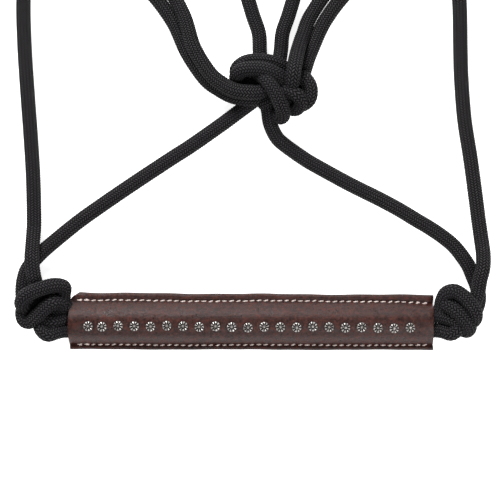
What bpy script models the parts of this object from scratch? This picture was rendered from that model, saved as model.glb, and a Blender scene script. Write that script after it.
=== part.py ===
"""Rope halter with a studded leather noseband, laid flat with its nose strands along X.

One braided rope is tied into knots and runs: side knots at the ends of the noseband, cheek and
chin ropes up from them, a fiador knot under the chin, a doubled throatlatch, two cheek knots, an
eye loop and a doubled crown tail. A leather sleeve, sewn along both edges and set with a row of
studs, covers the two nose strands. The origin is on the underside of the sleeve's lining, at its
middle; +Y runs from the noseband to the crown and +Z out of the leather front. Metres.
"""

import math

import bmesh
import bpy
from mathutils import Matrix, Vector

# Rope
ROPE_D = 0.0096
ROPE_R = ROPE_D / 2
GAP = 0.0003  # left between neighbours that touch on the real halter
SOCKET_ROOM = 0.0004  # round a rope where it enters a knot
REST_Z = ROPE_R + 0.0005  # centre of a rope that lies on the ground
CROSS_Z = REST_Z + ROPE_D + 0.0006  # centre of a rope that lies over another
PAIR_HALF = (ROPE_D + 2 * GAP) / 2  # half the spacing of two strands that lie together
BEND_ROOM = 0.00015  # more on each side where the two strands bend together
POINT_STEP = 1.6 * ROPE_D
LOOP_STEP = 0.9 * ROPE_D  # on the small loops
SOCKET_POINTS = 5

# Leather sleeve
SLEEVE_LENGTH = 0.2365
SLEEVE_AXIS_Y = -0.0009  # midway between the nose strands
FRONT_T = 0.0022
LINING_T = 0.0022
CROWN_FLAT_HALF = 0.0055
CLINCH_ROOM = 0.0012  # between the strands and the front leather
SIDE_ROOM = 0.0006
SHOULDER_STEPS = 5

# Stitching
THREAD_D = 0.0009
STITCH_IN = PAIR_HALF + ROPE_R + SIDE_ROOM + FRONT_T + 0.0018  # from the axis to each row
THREAD_END_INSET = 0.0052
UPPER_EDGE_Y = SLEEVE_AXIS_Y + STITCH_IN + 0.0043
LOWER_EDGE_Y = SLEEVE_AXIS_Y - STITCH_IN - 0.0024

# Studs
STUD_COUNT = 21
STUD_D = 0.0068
STUD_H = 0.0017
FIRST_STUD_INSET = 0.0113  # from the sleeve's left end
LAST_STUD_INSET = 0.0158
STUD_PITCH = (SLEEVE_LENGTH - FIRST_STUD_INSET - LAST_STUD_INSET) / (STUD_COUNT - 1)
STUD_ROW_Y = -0.0024
PRONG_HALF_SPAN = 0.0019
PRONG_T = 0.0005
PRONG_W = 0.0012
FOOT_LENGTH = 0.0014

# Knots: centre, and half sizes in rope diameters
SIDE_KNOT_GAP_LEFT = 0.0004  # from the sleeve's end to the knot
SLEEVE_TRAVEL = 0.002  # the sleeve slides this far towards the right knot
LEFT_KNOT = {"y": 0.0080, "half": (1.95, 2.13, 1.25)}
RIGHT_KNOT = {"y": 0.0067, "half": (1.79, 2.03, 1.25)}
FIADOR_KNOT = {"centre": (0.0140, 0.1540), "half": (2.92, 2.81, 1.56)}
CHEEK_KNOT_Y = 0.2680  # height of the cheek knots over the sleeve
CHEEK_KNOT_LEFT = {"centre": (-0.1380, 0.2680), "half": (1.85, 1.90, 1.25)}
CHEEK_KNOT_RIGHT = {"centre": (0.1260, 0.2680), "half": (1.85, 1.90, 1.25)}
KNOT_SQUARENESS = 0.66  # 1 is an ellipsoid; less fills out its shoulders
NOSE_STRAND_IN_KNOT = 0.0150  # how far a nose strand goes past the sleeve's end

# Fold lines, each parallel to X
FOLD_Z = REST_Z
HEADPIECE_FOLD_Y = 0.0660
CROWN_FOLD_Y = CHEEK_KNOT_LEFT["centre"][1] + 2 * ROPE_D + 0.0128
LEAD_LOOP_FOLD_Y = FIADOR_KNOT["centre"][1] + 3 * ROPE_D + 0.0052
STUB_CLEARANCE = 0.0006  # from a fixed stub to the round end that turns in front of it

TIP_LENGTH = 0.0140
TIP_D = ROPE_D + 0.0005

LEATHER_BROWN = (0.052, 0.022, 0.020)
LINING_BROWN = (0.080, 0.040, 0.030)
ROPE_BLACK = (0.016, 0.015, 0.018)
THREAD_CREAM = (0.62, 0.52, 0.46)
STUD_SILVER = (0.42, 0.41, 0.40)
TIP_BLACK = (0.010, 0.010, 0.011)

# The knots' centres and the routes are drawn for these sizes, and laid_out() fits them to others
DRAWN_SLEEVE_LENGTH = 0.2365
DRAWN_CHEEK_KNOT_Y = 0.2680

# Routes of the single ropes, as (x, y, z)
CHEEK_LEFT_STUB = [
    (-0.1390, 0.0160, CROSS_Z), (-0.1405, 0.0288, CROSS_Z), (-0.1417, 0.0400, CROSS_Z),
    (-0.1418, 0.0500, REST_Z + 0.0050), (-0.1418, 0.0585, REST_Z + 0.0012),
    (-0.1418, HEADPIECE_FOLD_Y, FOLD_Z),
]
CHIN_LEFT_STUB = [
    (-0.1460, 0.0130, REST_Z), (-0.1482, 0.0230, REST_Z), (-0.1465, 0.0330, REST_Z),
    (-0.1372, 0.0444, REST_Z), (-0.1220, 0.0574, REST_Z), (-0.1111, HEADPIECE_FOLD_Y, FOLD_Z),
]
CHEEK_RIGHT_STUB = [
    (0.1430, 0.0150, CROSS_Z), (0.1466, 0.0250, CROSS_Z), (0.1492, 0.0340, CROSS_Z),
    (0.1500, 0.0435, REST_Z + 0.0060), (0.1494, 0.0541, REST_Z + 0.0015),
    (0.1480, HEADPIECE_FOLD_Y, FOLD_Z),
]
CHIN_RIGHT_STUB = [
    (0.1405, 0.0150, REST_Z), (0.1436, 0.0290, REST_Z), (0.1388, 0.0400, REST_Z),
    (0.1320, 0.0488, REST_Z), (0.1243, 0.0552, REST_Z), (0.1155, 0.0611, REST_Z),
    (0.1072, HEADPIECE_FOLD_Y, FOLD_Z),
]
CHEEK_LEFT = [
    (-0.1418, HEADPIECE_FOLD_Y, FOLD_Z), (-0.1424, 0.0930, REST_Z), (-0.1439, 0.1185, REST_Z),
    (-0.1458, 0.1445, REST_Z), (-0.1479, 0.1763, REST_Z), (-0.1488, 0.2050, REST_Z),
    (-0.1475, 0.2300, REST_Z), (-0.1440, 0.2520, REST_Z + 0.0020), (-0.1410, 0.2620, 0.0100),
]
CHEEK_RIGHT = [
    (0.1480, HEADPIECE_FOLD_Y, FOLD_Z), (0.1462, 0.0801, REST_Z), (0.1428, 0.1055, REST_Z),
    (0.1388, 0.1315, REST_Z), (0.1368, 0.1572, REST_Z), (0.1362, 0.1763, REST_Z),
    (0.1357, 0.2050, REST_Z), (0.1340, 0.2300, REST_Z), (0.1310, 0.2520, REST_Z + 0.0020),
    (0.1285, 0.2620, 0.0100),
]
CHIN_LEFT = [
    (-0.1111, HEADPIECE_FOLD_Y, FOLD_Z), (-0.1013, 0.0730, REST_Z), (-0.0805, 0.0873, REST_Z),
    (-0.0530, 0.1055, REST_Z), (-0.0393, 0.1143, REST_Z), (-0.0185, 0.1289, REST_Z),
    (-0.0062, 0.1380, REST_Z), (0.0020, 0.1440, REST_Z),
]
CHIN_RIGHT = [
    (0.1072, HEADPIECE_FOLD_Y, FOLD_Z), (0.0965, 0.0725, REST_Z), (0.0835, 0.0795, REST_Z),
    (0.0640, 0.0892, REST_Z), (0.0418, 0.1013, REST_Z), (0.0335, 0.1063, REST_Z),
    (0.0218, 0.1146, REST_Z), (0.0166, 0.1198, REST_Z), (0.0126, 0.1290, REST_Z + 0.0010),
    (0.0130, 0.1400, REST_Z + 0.0030),
]
LEAD_LOOP = [
    (0.0047, LEAD_LOOP_FOLD_Y, FOLD_Z), (0.0004, 0.2010, REST_Z), (-0.0028, 0.2150, REST_Z),
    (0.0008, 0.2300, REST_Z), (0.0125, 0.2375, REST_Z), (0.0242, 0.2300, REST_Z),
    (0.0278, 0.2150, REST_Z), (0.0246, 0.2010, REST_Z), (0.0203, LEAD_LOOP_FOLD_Y, FOLD_Z),
]
LEAD_LOOP_STUBS = [
    [(0.0062, 0.1660, 0.0095), (0.0053, 0.1760, REST_Z), (0.0047, LEAD_LOOP_FOLD_Y, FOLD_Z)],
    [(0.0180, 0.1660, 0.0095), (0.0190, 0.1760, REST_Z), (0.0203, LEAD_LOOP_FOLD_Y, FOLD_Z)],
]
EYE_LOOP = [
    (-0.1460, CROWN_FOLD_Y, FOLD_Z), (-0.1505, 0.3140, REST_Z), (-0.1530, 0.3290, REST_Z),
    (-0.1495, 0.3460, REST_Z), (-0.1380, 0.3550, REST_Z), (-0.1265, 0.3460, REST_Z),
    (-0.1230, 0.3290, REST_Z), (-0.1255, 0.3140, REST_Z), (-0.1300, CROWN_FOLD_Y, FOLD_Z),
]
EYE_STUBS = [
    [(-0.1440, 0.2740, 0.0100), (-0.1455, 0.2870, REST_Z), (-0.1460, CROWN_FOLD_Y, FOLD_Z)],
    [(-0.1320, 0.2740, 0.0100), (-0.1305, 0.2870, REST_Z), (-0.1300, CROWN_FOLD_Y, FOLD_Z)],
]

# Middles of the doubled ropes, as (x, y, roll, lift): roll is how far the pair is turned about its
# own length, in degrees, where 0 lays the strands side by side and 90 stacks them; lift raises it
THROAT_LEFT = [
    (-0.0040, 0.1462, 72, CROSS_Z - REST_Z), (-0.0120, 0.1466, 72, 0.0108),
    (-0.0205, 0.1512, 72, 0.0052), (-0.0290, 0.1586, 66, 0.0016), (-0.0397, 0.1763, 60, 0.0),
    (-0.0480, 0.1975, 40, 0.0), (-0.0620, 0.2180, 12, 0.0), (-0.0830, 0.2360, 0, 0.0),
    (-0.1030, 0.2500, 0, 0.0), (-0.1240, 0.2630, 0, 0.0010),
]
THROAT_RIGHT = [
    (0.0290, 0.1600, 0, 0.0060), (0.0312, 0.1680, 0, 0.0050), (0.0345, 0.1770, 0, 0.0030),
    (0.0432, 0.1980, 0, 0.0), (0.0580, 0.2175, 0, 0.0), (0.0778, 0.2352, 0, 0.0),
    (0.0972, 0.2495, 0, 0.0), (0.1130, 0.2620, 0, 0.0010),
]
CROWN = [
    (0.1260, CROWN_FOLD_Y, 0, 0.0), (0.1240, 0.3350, 0, 0.0), (0.1100, 0.3800, 0, 0.0),
    (0.0780, 0.4160, 0, 0.0), (0.0250, 0.4360, 0, 0.0), (-0.0300, 0.4360, 0, 0.0),
    (-0.0760, 0.4180, 0, 0.0), (-0.0980, 0.3880, 0, 0.0), (-0.0900, 0.3580, 0, 0.0),
    (-0.0620, 0.3440, 0, 0.0), (-0.0250, 0.3500, 0, 0.0), (0.0120, 0.3620, 0, 0.0),
    (0.0480, 0.3600, 0, 0.0), (0.0700, 0.3450, 0, 0.0), (0.0840, 0.3220, 0, 0.0),
]
CROWN_STUB = [(0.1260, 0.2740, 0, 0.0), (0.1260, 0.2870, 0, 0.0), (0.1260, CROWN_FOLD_Y, 0, 0.0)]


# ---------------------------------------------------------------- tools

def clear_scene():
    for old in list(bpy.data.objects):
        bpy.data.objects.remove(old, do_unlink=True)


def make_material(name, colour, roughness, metallic=0.0):
    """A plain Principled finish."""
    material = bpy.data.materials.new(name)
    material.use_nodes = True
    shader = material.node_tree.nodes["Principled BSDF"]
    shader.inputs["Base Color"].default_value = (*colour, 1.0)
    shader.inputs["Roughness"].default_value = roughness
    shader.inputs["Metallic"].default_value = metallic
    return material


def add_object(name, data, material=None, parent=None):
    """Link a mesh or curve whose points are already where they belong."""
    item = bpy.data.objects.new(name, data)
    bpy.context.scene.collection.objects.link(item)
    if material is not None:
        data.materials.append(material)
    if parent is not None:
        item.parent = parent
        item.matrix_parent_inverse = parent.matrix_world.inverted()
    return item


def add_empty(name, location, parent=None):
    """A marker on a joint's axis, which carries what turns or slides there."""
    marker = bpy.data.objects.new(name, None)
    bpy.context.scene.collection.objects.link(marker)
    marker.empty_display_size = 0.02
    marker.location = location
    bpy.context.view_layer.update()
    if parent is not None:
        marker.parent = parent
        marker.matrix_parent_inverse = parent.matrix_world.inverted()
        bpy.context.view_layer.update()
    return marker


def as_mesh(name, builder):
    """Turn a bmesh into a mesh with its faces outwards."""
    bmesh.ops.recalc_face_normals(builder, faces=builder.faces)
    mesh = bpy.data.meshes.new(name)
    builder.to_mesh(mesh)
    builder.free()
    return mesh


def hide_cutter(cutter):
    cutter.hide_render = True
    cutter.display_type = "WIRE"


def add_boolean(target, operation, operand):
    """A live Boolean; its operand stays in the scene as a hidden guide."""
    hide_cutter(operand)
    modifier = target.modifiers.new(operation.title(), "BOOLEAN")
    modifier.operation = operation
    modifier.solver = "EXACT"
    modifier.object = operand


def box_builder(builder, low, high):
    """Add a closed box between two corners."""
    centre = [(a + b) / 2 for a, b in zip(low, high)]
    size = [b - a for a, b in zip(low, high)]
    place = Matrix.Translation(centre) @ Matrix.Diagonal((*size, 1.0))
    bmesh.ops.create_cube(builder, size=1.0, matrix=place)


# ---------------------------------------------------------------- routes

def laid_out(x, y):
    """A drawn place, moved out with the sleeve's ends and up with the cheek knots."""
    out = max(-1.0, min(1.0, 2 * x / DRAWN_SLEEVE_LENGTH))
    up = (y - HEADPIECE_FOLD_Y) / (DRAWN_CHEEK_KNOT_Y - HEADPIECE_FOLD_Y)
    return (x + out * (SLEEVE_LENGTH - DRAWN_SLEEVE_LENGTH) / 2,
            y + max(0.0, min(1.0, up)) * (CHEEK_KNOT_Y - DRAWN_CHEEK_KNOT_Y))


def route_curve(route):
    """The smooth curve of a single rope's route."""
    return curve_through([(*laid_out(x, y), z) for x, y, z in route])


def curve_through(points, samples=24):
    """Dense points on a smooth curve through the given ones."""
    knots = [Vector(point) for point in points]
    padded = [2 * knots[0] - knots[1], *knots, 2 * knots[-1] - knots[-2]]
    dense = []
    for a, b, c, d in zip(padded, padded[1:], padded[2:], padded[3:]):
        for step in range(samples):
            t = step / samples
            dense.append(
                0.5 * (2 * b + (c - a) * t + (2 * a - 5 * b + 4 * c - d) * t**2
                       + (3 * b - a - 3 * c + d) * t**3)
            )
    dense.append(knots[-1])
    return dense


def lengths_along(dense):
    total = [0.0]
    for a, b in zip(dense, dense[1:]):
        total.append(total[-1] + (b - a).length)
    return total


def point_at(dense, total, distance):
    """The point at a distance along a dense curve; it runs on straight past either end."""
    if distance <= 0:
        return dense[0] + (dense[1] - dense[0]).normalized() * distance
    if distance >= total[-1]:
        return dense[-1] + (dense[-1] - dense[-2]).normalized() * (distance - total[-1])
    index = next(i for i, value in enumerate(total) if value >= distance)
    span = total[index] - total[index - 1]
    return dense[index - 1].lerp(dense[index], (distance - total[index - 1]) / span)


def even_points(dense, start=0.0, end=None, step=POINT_STEP):
    """Evenly spaced points between two distances along a dense curve."""
    total = lengths_along(dense)
    if end is None:
        end = total[-1]
    count = max(2, round((end - start) / step) + 1)
    return [point_at(dense, total, start + (end - start) * i / (count - 1)) for i in range(count)]


def strand_pair(route):
    """The two strands of a doubled rope, from its middle and the roll and lift of the pair."""
    middle = route_curve([(x, y, lift) for x, y, _, lift in route])
    rolls = curve_through([(roll, 0.0, 0.0) for _, _, roll, _ in route])
    strands = ([], [])
    for index, (point, roll) in enumerate(zip(middle, rolls)):
        before = middle[max(index - 1, 0)]
        after = middle[min(index + 1, len(middle) - 1)]
        along = Vector((after.x - before.x, after.y - before.y, 0.0)).normalized()
        across = Vector((along.y, -along.x, 0.0))
        turn = math.radians(roll.x)
        offset = (PAIR_HALF + BEND_ROOM) * (across * math.cos(turn) + Vector((0, 0, math.sin(turn))))
        height = REST_Z + PAIR_HALF * abs(math.sin(turn)) + max(point.z, 0.0)
        centre = Vector((point.x, point.y, height))
        strands[0].append(centre + offset)
        strands[1].append(centre - offset)
    return strands


# ---------------------------------------------------------------- rope pieces

def add_rope(name, dense, material, parent, round_start=False, round_end=False, cut_end=0.0,
             step=POINT_STEP):
    """A rope as a curve with a round section; a round end is centred on the route's end."""
    total = lengths_along(dense)
    end = total[-1] - cut_end
    points = [(point, 1.0) for point in even_points(dense, 0.0, end, step)]
    cap = []
    for angle in (14, 34, 54, 74):
        back = ROPE_R * math.cos(math.radians(angle))
        cap.append((back, math.sin(math.radians(angle))))
    if round_start:
        points = [(point_at(dense, total, -back), size) for back, size in cap] + points
    if round_end:
        points += [(point_at(dense, total, total[-1] + back), size) for back, size in reversed(cap)]
    curve = bpy.data.curves.new(name, "CURVE")
    curve.dimensions = "3D"
    curve.bevel_depth = ROPE_R
    curve.bevel_resolution = 2
    curve.use_fill_caps = True
    spline = curve.splines.new("POLY")
    spline.points.add(len(points) - 1)
    for spot, (point, size) in zip(spline.points, points):
        spot.co = (*point, 1.0)
        spot.radius = size
    return add_object(name, curve, material, parent)


def swept_tube(points, radius, sides, closed=False):
    """A closed mesh tube along a list of points, with flat ends or joined into a ring."""
    builder = bmesh.new()
    rings = []
    count = len(points)
    side = None
    for index, point in enumerate(points):
        if closed:
            along = (points[(index + 1) % count] - points[index - 1]).normalized()
        else:
            along = (points[min(index + 1, count - 1)] - points[max(index - 1, 0)]).normalized()
        if side is None:
            side = along.orthogonal().normalized()
        side = (side - along * side.dot(along)).normalized()
        up = along.cross(side)
        ring = []
        for step in range(sides):
            turn = 2 * math.pi * (step + 0.5) / sides
            ring.append(builder.verts.new(
                point + radius * (side * math.cos(turn) + up * math.sin(turn))))
        rings.append(ring)
    spans = count if closed else count - 1
    for index in range(spans):
        near, far = rings[index], rings[(index + 1) % count]
        for step in range(sides):
            after = (step + 1) % sides
            builder.faces.new((near[step], near[after], far[after], far[step]))
    if not closed:
        builder.faces.new(list(reversed(rings[0])))
        builder.faces.new(rings[-1])
    return builder


def add_stub(name, dense):
    """A fixed end of rope that leaves a knot and stops short of the fold line."""
    total = lengths_along(dense)
    end = total[-1] - ROPE_R - STUB_CLEARANCE
    tube = swept_tube(even_points(dense, 0.0, end, 0.9 * ROPE_D), ROPE_R, 10)
    return add_object(name, as_mesh(name, tube))


def add_socket(name, dense, at_start):
    """A cutter for the hollow in which a rope enters a knot, along the rope's own points."""
    points = even_points(dense)
    if not at_start:
        points.reverse()
    points = points[:SOCKET_POINTS]
    points[0] = points[0] + (points[0] - points[1]).normalized() * SOCKET_ROOM
    sides = 16
    radius = (ROPE_R + SOCKET_ROOM) / math.cos(math.pi / sides)
    return add_object(name, as_mesh(name, swept_tube(points, radius, sides)))


def add_knot(name, centre, half, material, parent, stubs=(), sockets=()):
    """A knot as a rounded lump that stands on the ground, with its rope ends and rope hollows."""
    builder = bmesh.new()
    bmesh.ops.create_uvsphere(builder, u_segments=20, v_segments=12, radius=1.0)
    for vert in builder.verts:
        ring = math.hypot(vert.co.x, vert.co.y)
        if ring > 0.001:
            vert.co.x *= ring**(KNOT_SQUARENESS - 1)
            vert.co.y *= ring**(KNOT_SQUARENESS - 1)
        vert.co.z = math.copysign(abs(vert.co.z)**KNOT_SQUARENESS, vert.co.z)
    size = Matrix.Diagonal((*half, 1.0))
    builder.transform(Matrix.Translation((centre[0], centre[1], half[2])) @ size)
    lump = add_object(name, as_mesh(name, builder), material, parent)
    for index, dense in enumerate(stubs):
        add_boolean(lump, "UNION", add_stub(f"guide_{name}_stub_{index}", dense))
    for index, (dense, at_start) in enumerate(sockets):
        add_boolean(lump, "DIFFERENCE", add_socket(f"guide_{name}_socket_{index}", dense, at_start))
    return lump


# ---------------------------------------------------------------- leather, thread and studs

def sleeve_heights():
    """The heights that the sleeve's parts share."""
    strand_z = LINING_T + GAP + ROPE_R
    return {
        "strand": strand_z,
        "flange": LINING_T + GAP,
        "crown": strand_z + ROPE_R + CLINCH_ROOM,
    }


def front_half_profile(thickness):
    """Half of the front's inner face, from its crown to its flange, pushed out by a thickness."""
    heights = sleeve_heights()
    middle_z = heights["strand"] - 0.0008
    wide = PAIR_HALF + ROPE_R + SIDE_ROOM - CROWN_FLAT_HALF + thickness
    tall = heights["crown"] - middle_z + thickness
    points = []
    for step in range(SHOULDER_STEPS + 1):
        turn = math.radians(90 - 90 * step / SHOULDER_STEPS)
        points.append((CROWN_FLAT_HALF + wide * math.cos(turn), middle_z + tall * math.sin(turn)))
    foot = heights["flange"] + thickness
    edge = CROWN_FLAT_HALF + wide
    drop = middle_z - foot
    points.append((edge + 0.0001, foot + 0.45 * drop))
    points.append((edge + 0.0004, foot + 0.15 * drop))
    points.append((edge + 0.0010, foot))
    return points


def add_sleeve_front(material, parent):
    """The front leather: a crowned panel with flat flanges, pierced for the prongs and thread."""
    outer = front_half_profile(FRONT_T)
    inner = front_half_profile(0.0)
    flange_top = outer[-1][1]
    flange_under = inner[-1][1]
    section = [(UPPER_EDGE_Y, flange_under), (UPPER_EDGE_Y, flange_top)]
    section += [(SLEEVE_AXIS_Y + y, z) for y, z in reversed(outer)]
    section += [(SLEEVE_AXIS_Y - y, z) for y, z in outer]
    section += [(LOWER_EDGE_Y, flange_top), (LOWER_EDGE_Y, flange_under)]
    section += [(SLEEVE_AXIS_Y - y, z) for y, z in reversed(inner)]
    section += [(SLEEVE_AXIS_Y + y, z) for y, z in inner]
    builder = bmesh.new()
    start = [builder.verts.new((-SLEEVE_LENGTH / 2, y, z)) for y, z in section]
    face = builder.faces.new(start)
    moved = bmesh.ops.extrude_face_region(builder, geom=[face])["geom"]
    ends = [item for item in moved if isinstance(item, bmesh.types.BMVert)]
    bmesh.ops.translate(builder, verts=ends, vec=(SLEEVE_LENGTH, 0, 0))
    front = add_object("noseband_front", as_mesh("noseband_front", builder), material, parent)
    slots = bmesh.new()
    crown = sleeve_heights()["crown"]
    for x, y in stud_places():
        for sign in (-1, 1):
            middle = x + sign * (PRONG_HALF_SPAN - PRONG_T / 2)
            half_x = PRONG_T / 2 + GAP
            half_y = PRONG_W / 2 + GAP
            low = (middle - half_x, y - half_y, crown - FRONT_T)
            high = (middle + half_x, y + half_y, crown + 2 * FRONT_T)
            box_builder(slots, low, high)
    for y in stitch_rows():
        for x in thread_ends():
            thread_hole(slots, x, y)
    cutter = add_object("guide_front_holes", as_mesh("guide_front_holes", slots))
    add_boolean(front, "DIFFERENCE", cutter)


def add_sleeve_lining(material, parent):
    """The flat lining, with a channel below each row of stitches."""
    half = SLEEVE_LENGTH / 2
    builder = bmesh.new()
    box_builder(builder, (-half, LOWER_EDGE_Y, 0.0), (half, UPPER_EDGE_Y, LINING_T))
    lining = add_object("noseband_lining", as_mesh("noseband_lining", builder), material, parent)
    cuts = bmesh.new()
    half_w = THREAD_D / 2 + GAP
    low_x, high_x = thread_ends()
    for y in stitch_rows():
        box_builder(cuts, (low_x - half_w, y - half_w, -0.001),
                    (high_x + half_w, y + half_w, THREAD_D + 2 * GAP))
    channels = add_object("guide_lining_channels", as_mesh("guide_lining_channels", cuts))
    add_boolean(lining, "DIFFERENCE", channels)
    holes = bmesh.new()
    for y in stitch_rows():
        for x in thread_ends():
            thread_hole(holes, x, y)
    cutter = add_object("guide_lining_holes", as_mesh("guide_lining_holes", holes))
    add_boolean(lining, "DIFFERENCE", cutter)


def stitch_rows():
    return (SLEEVE_AXIS_Y + STITCH_IN, SLEEVE_AXIS_Y - STITCH_IN)


def thread_ends():
    half = SLEEVE_LENGTH / 2 - THREAD_END_INSET
    return (-half, half)


def thread_hole(builder, x, y):
    half = THREAD_D / 2 + GAP
    box_builder(builder, (x - half, y - half, -0.001), (x + half, y + half, 0.02))


def add_thread(name, y, material, parent):
    """One row of stitching: a run on the front and one under the lining, joined at its ends."""
    top = sleeve_heights()["flange"] + FRONT_T + GAP + THREAD_D / 2
    low = GAP + THREAD_D / 2
    start, end = thread_ends()
    turn = 0.0004
    points = [
        (start, y, low + turn), (start, y, top - turn), (start + turn, y, top),
        (end - turn, y, top), (end, y, top - turn), (end, y, low + turn),
        (end - turn, y, low), (start + turn, y, low),
    ]
    ring = swept_tube([Vector(point) for point in points], THREAD_D / 2, 6, closed=True)
    add_object(name, as_mesh(name, ring), material, parent)


def stud_places():
    """Centres of the studs, a little out of line as a hand-set row is."""
    places = []
    for index in range(STUD_COUNT):
        wander = 0.0004 * math.sin(2.1 * index) + 0.0002 * math.sin(0.7 * index + 1)
        x = FIRST_STUD_INSET - SLEEVE_LENGTH / 2 + STUD_PITCH * index
        places.append((x, STUD_ROW_Y - wander))
    return places


def stud_mesh():
    """A domed cap on two prongs whose feet are turned in behind the leather."""
    crown = sleeve_heights()["crown"]
    base = crown + FRONT_T + GAP
    radius = STUD_D / 2
    profile = [(radius, base), (radius, base + 0.0004), (0.86 * radius, base + 0.0010),
               (0.5 * radius, base + 0.0014), (0.0, base + STUD_H)]
    cap = bmesh.new()
    sides = 12
    rings = []
    for r, z in profile[:-1]:
        rings.append([cap.verts.new((r * math.cos(2 * math.pi * i / sides),
                                     r * math.sin(2 * math.pi * i / sides), z))
                      for i in range(sides)])
    top = cap.verts.new((0, 0, profile[-1][1]))
    for near, far in zip(rings, rings[1:]):
        for i in range(sides):
            cap.faces.new((near[i], near[(i + 1) % sides], far[(i + 1) % sides], far[i]))
    for i in range(sides):
        cap.faces.new((rings[-1][i], rings[-1][(i + 1) % sides], top))
    cap.faces.new(list(reversed(rings[0])))
    item = add_object("guide_stud_cap", as_mesh("guide_stud_cap", cap))

    bar = base + 0.0005
    foot = crown - GAP
    sole = foot - 0.0004
    out, inside = PRONG_HALF_SPAN, PRONG_HALF_SPAN - PRONG_T
    toe = out - FOOT_LENGTH
    outline = [
        (-out, bar), (-out, sole), (-toe, sole), (-toe, foot), (-inside, foot),
        (-inside, bar - 0.0004), (inside, bar - 0.0004), (inside, foot), (toe, foot),
        (toe, sole), (out, sole), (out, bar),
    ]
    staple = bmesh.new()
    face = staple.faces.new([staple.verts.new((x, -PRONG_W / 2, z)) for x, z in outline])
    moved = bmesh.ops.extrude_face_region(staple, geom=[face])["geom"]
    ends = [part for part in moved if isinstance(part, bmesh.types.BMVert)]
    bmesh.ops.translate(staple, verts=ends, vec=(0, PRONG_W, 0))
    prongs = add_object("guide_stud_prongs", as_mesh("guide_stud_prongs", staple))
    add_boolean(item, "UNION", prongs)
    hide_cutter(item)
    bpy.context.view_layer.update()
    depsgraph = bpy.context.evaluated_depsgraph_get()
    mesh = bpy.data.meshes.new_from_object(item.evaluated_get(depsgraph))
    mesh.name = "stud"
    bpy.data.objects.remove(item, do_unlink=True)
    bpy.data.objects.remove(prongs, do_unlink=True)
    return mesh


# ---------------------------------------------------------------- assembly

def build_noseband(material, root, sleeve):
    """Nose strands, side knots and everything on the leather sleeve."""
    half = SLEEVE_LENGTH / 2
    height = sleeve_heights()["strand"]
    reach = half + NOSE_STRAND_IN_KNOT
    strands = []
    for name, sign in (("nose_strand_upper", 1), ("nose_strand_lower", -1)):
        y = SLEEVE_AXIS_Y + sign * PAIR_HALF
        dense = [Vector((-reach + 2 * reach * i / 60, y, height)) for i in range(61)]
        add_rope(name, dense, material["rope"], root)
        strands.append(dense)

    left_half = [size * ROPE_D for size in LEFT_KNOT["half"]]
    right_half = [size * ROPE_D for size in RIGHT_KNOT["half"]]
    left_x = -half - SIDE_KNOT_GAP_LEFT - left_half[0]
    right_x = half + SLEEVE_TRAVEL + SIDE_KNOT_GAP_LEFT + right_half[0]
    add_knot("side_knot_left", (left_x, LEFT_KNOT["y"]), left_half, material["rope"], root,
             stubs=[route_curve(CHEEK_LEFT_STUB), route_curve(CHIN_LEFT_STUB)],
             sockets=[(dense, True) for dense in strands])
    add_knot("side_knot_right", (right_x, RIGHT_KNOT["y"]), right_half, material["rope"], root,
             stubs=[route_curve(CHEEK_RIGHT_STUB), route_curve(CHIN_RIGHT_STUB)],
             sockets=[(dense, False) for dense in strands])

    add_sleeve_front(material["leather"], sleeve)
    add_sleeve_lining(material["lining"], sleeve)
    for name, y in zip(("thread_upper", "thread_lower"), stitch_rows()):
        add_thread(name, y, material["thread"], sleeve)
    mesh = stud_mesh()
    mesh.materials.append(material["stud"])
    for index, (x, y) in enumerate(stud_places()):
        stud = bpy.data.objects.new(f"stud_{index + 1:02d}", mesh)
        bpy.context.scene.collection.objects.link(stud)
        stud.parent = sleeve
        stud.matrix_parent_inverse = sleeve.matrix_world.inverted()
        stud.location = (x, y, 0.0)


def build_headpiece(material, headpiece, lead_loop):
    """Cheek and chin ropes, fiador knot, throatlatch, cheek knots and lead loop."""
    cheek_left = route_curve(CHEEK_LEFT)
    cheek_right = route_curve(CHEEK_RIGHT)
    chin_left = route_curve(CHIN_LEFT)
    chin_right = route_curve(CHIN_RIGHT)
    for name, dense in (("cheek_rope_left", cheek_left), ("cheek_rope_right", cheek_right),
                        ("chin_rope_left", chin_left), ("chin_rope_right", chin_right)):
        add_rope(name, dense, material["rope"], headpiece, round_start=True)
    throat_left = strand_pair(THROAT_LEFT)
    throat_right = strand_pair(THROAT_RIGHT)
    for side, pair in (("left", throat_left), ("right", throat_right)):
        for strand, dense in zip(("inner", "outer"), pair):
            add_rope(f"throat_rope_{side}_{strand}", dense, material["rope"], headpiece)

    def sized(knot):
        return [size * ROPE_D for size in knot["half"]]

    into_fiador = [(chin_left, False), (chin_right, False)]
    into_fiador += [(dense, True) for dense in (*throat_left, *throat_right)]
    add_knot("fiador_knot", laid_out(*FIADOR_KNOT["centre"]), sized(FIADOR_KNOT),
             material["rope"], headpiece,
             stubs=[route_curve(route) for route in LEAD_LOOP_STUBS], sockets=into_fiador)
    into_left = [(cheek_left, False)] + [(dense, False) for dense in throat_left]
    add_knot("cheek_knot_left", laid_out(*CHEEK_KNOT_LEFT["centre"]), sized(CHEEK_KNOT_LEFT),
             material["rope"], headpiece,
             stubs=[route_curve(route) for route in EYE_STUBS], sockets=into_left)
    into_right = [(cheek_right, False)] + [(dense, False) for dense in throat_right]
    add_knot("cheek_knot_right", laid_out(*CHEEK_KNOT_RIGHT["centre"]), sized(CHEEK_KNOT_RIGHT),
             material["rope"], headpiece, stubs=strand_pair(CROWN_STUB), sockets=into_right)
    add_rope("lead_loop", route_curve(LEAD_LOOP), material["rope"], lead_loop,
             round_start=True, round_end=True, step=LOOP_STEP)


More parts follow.
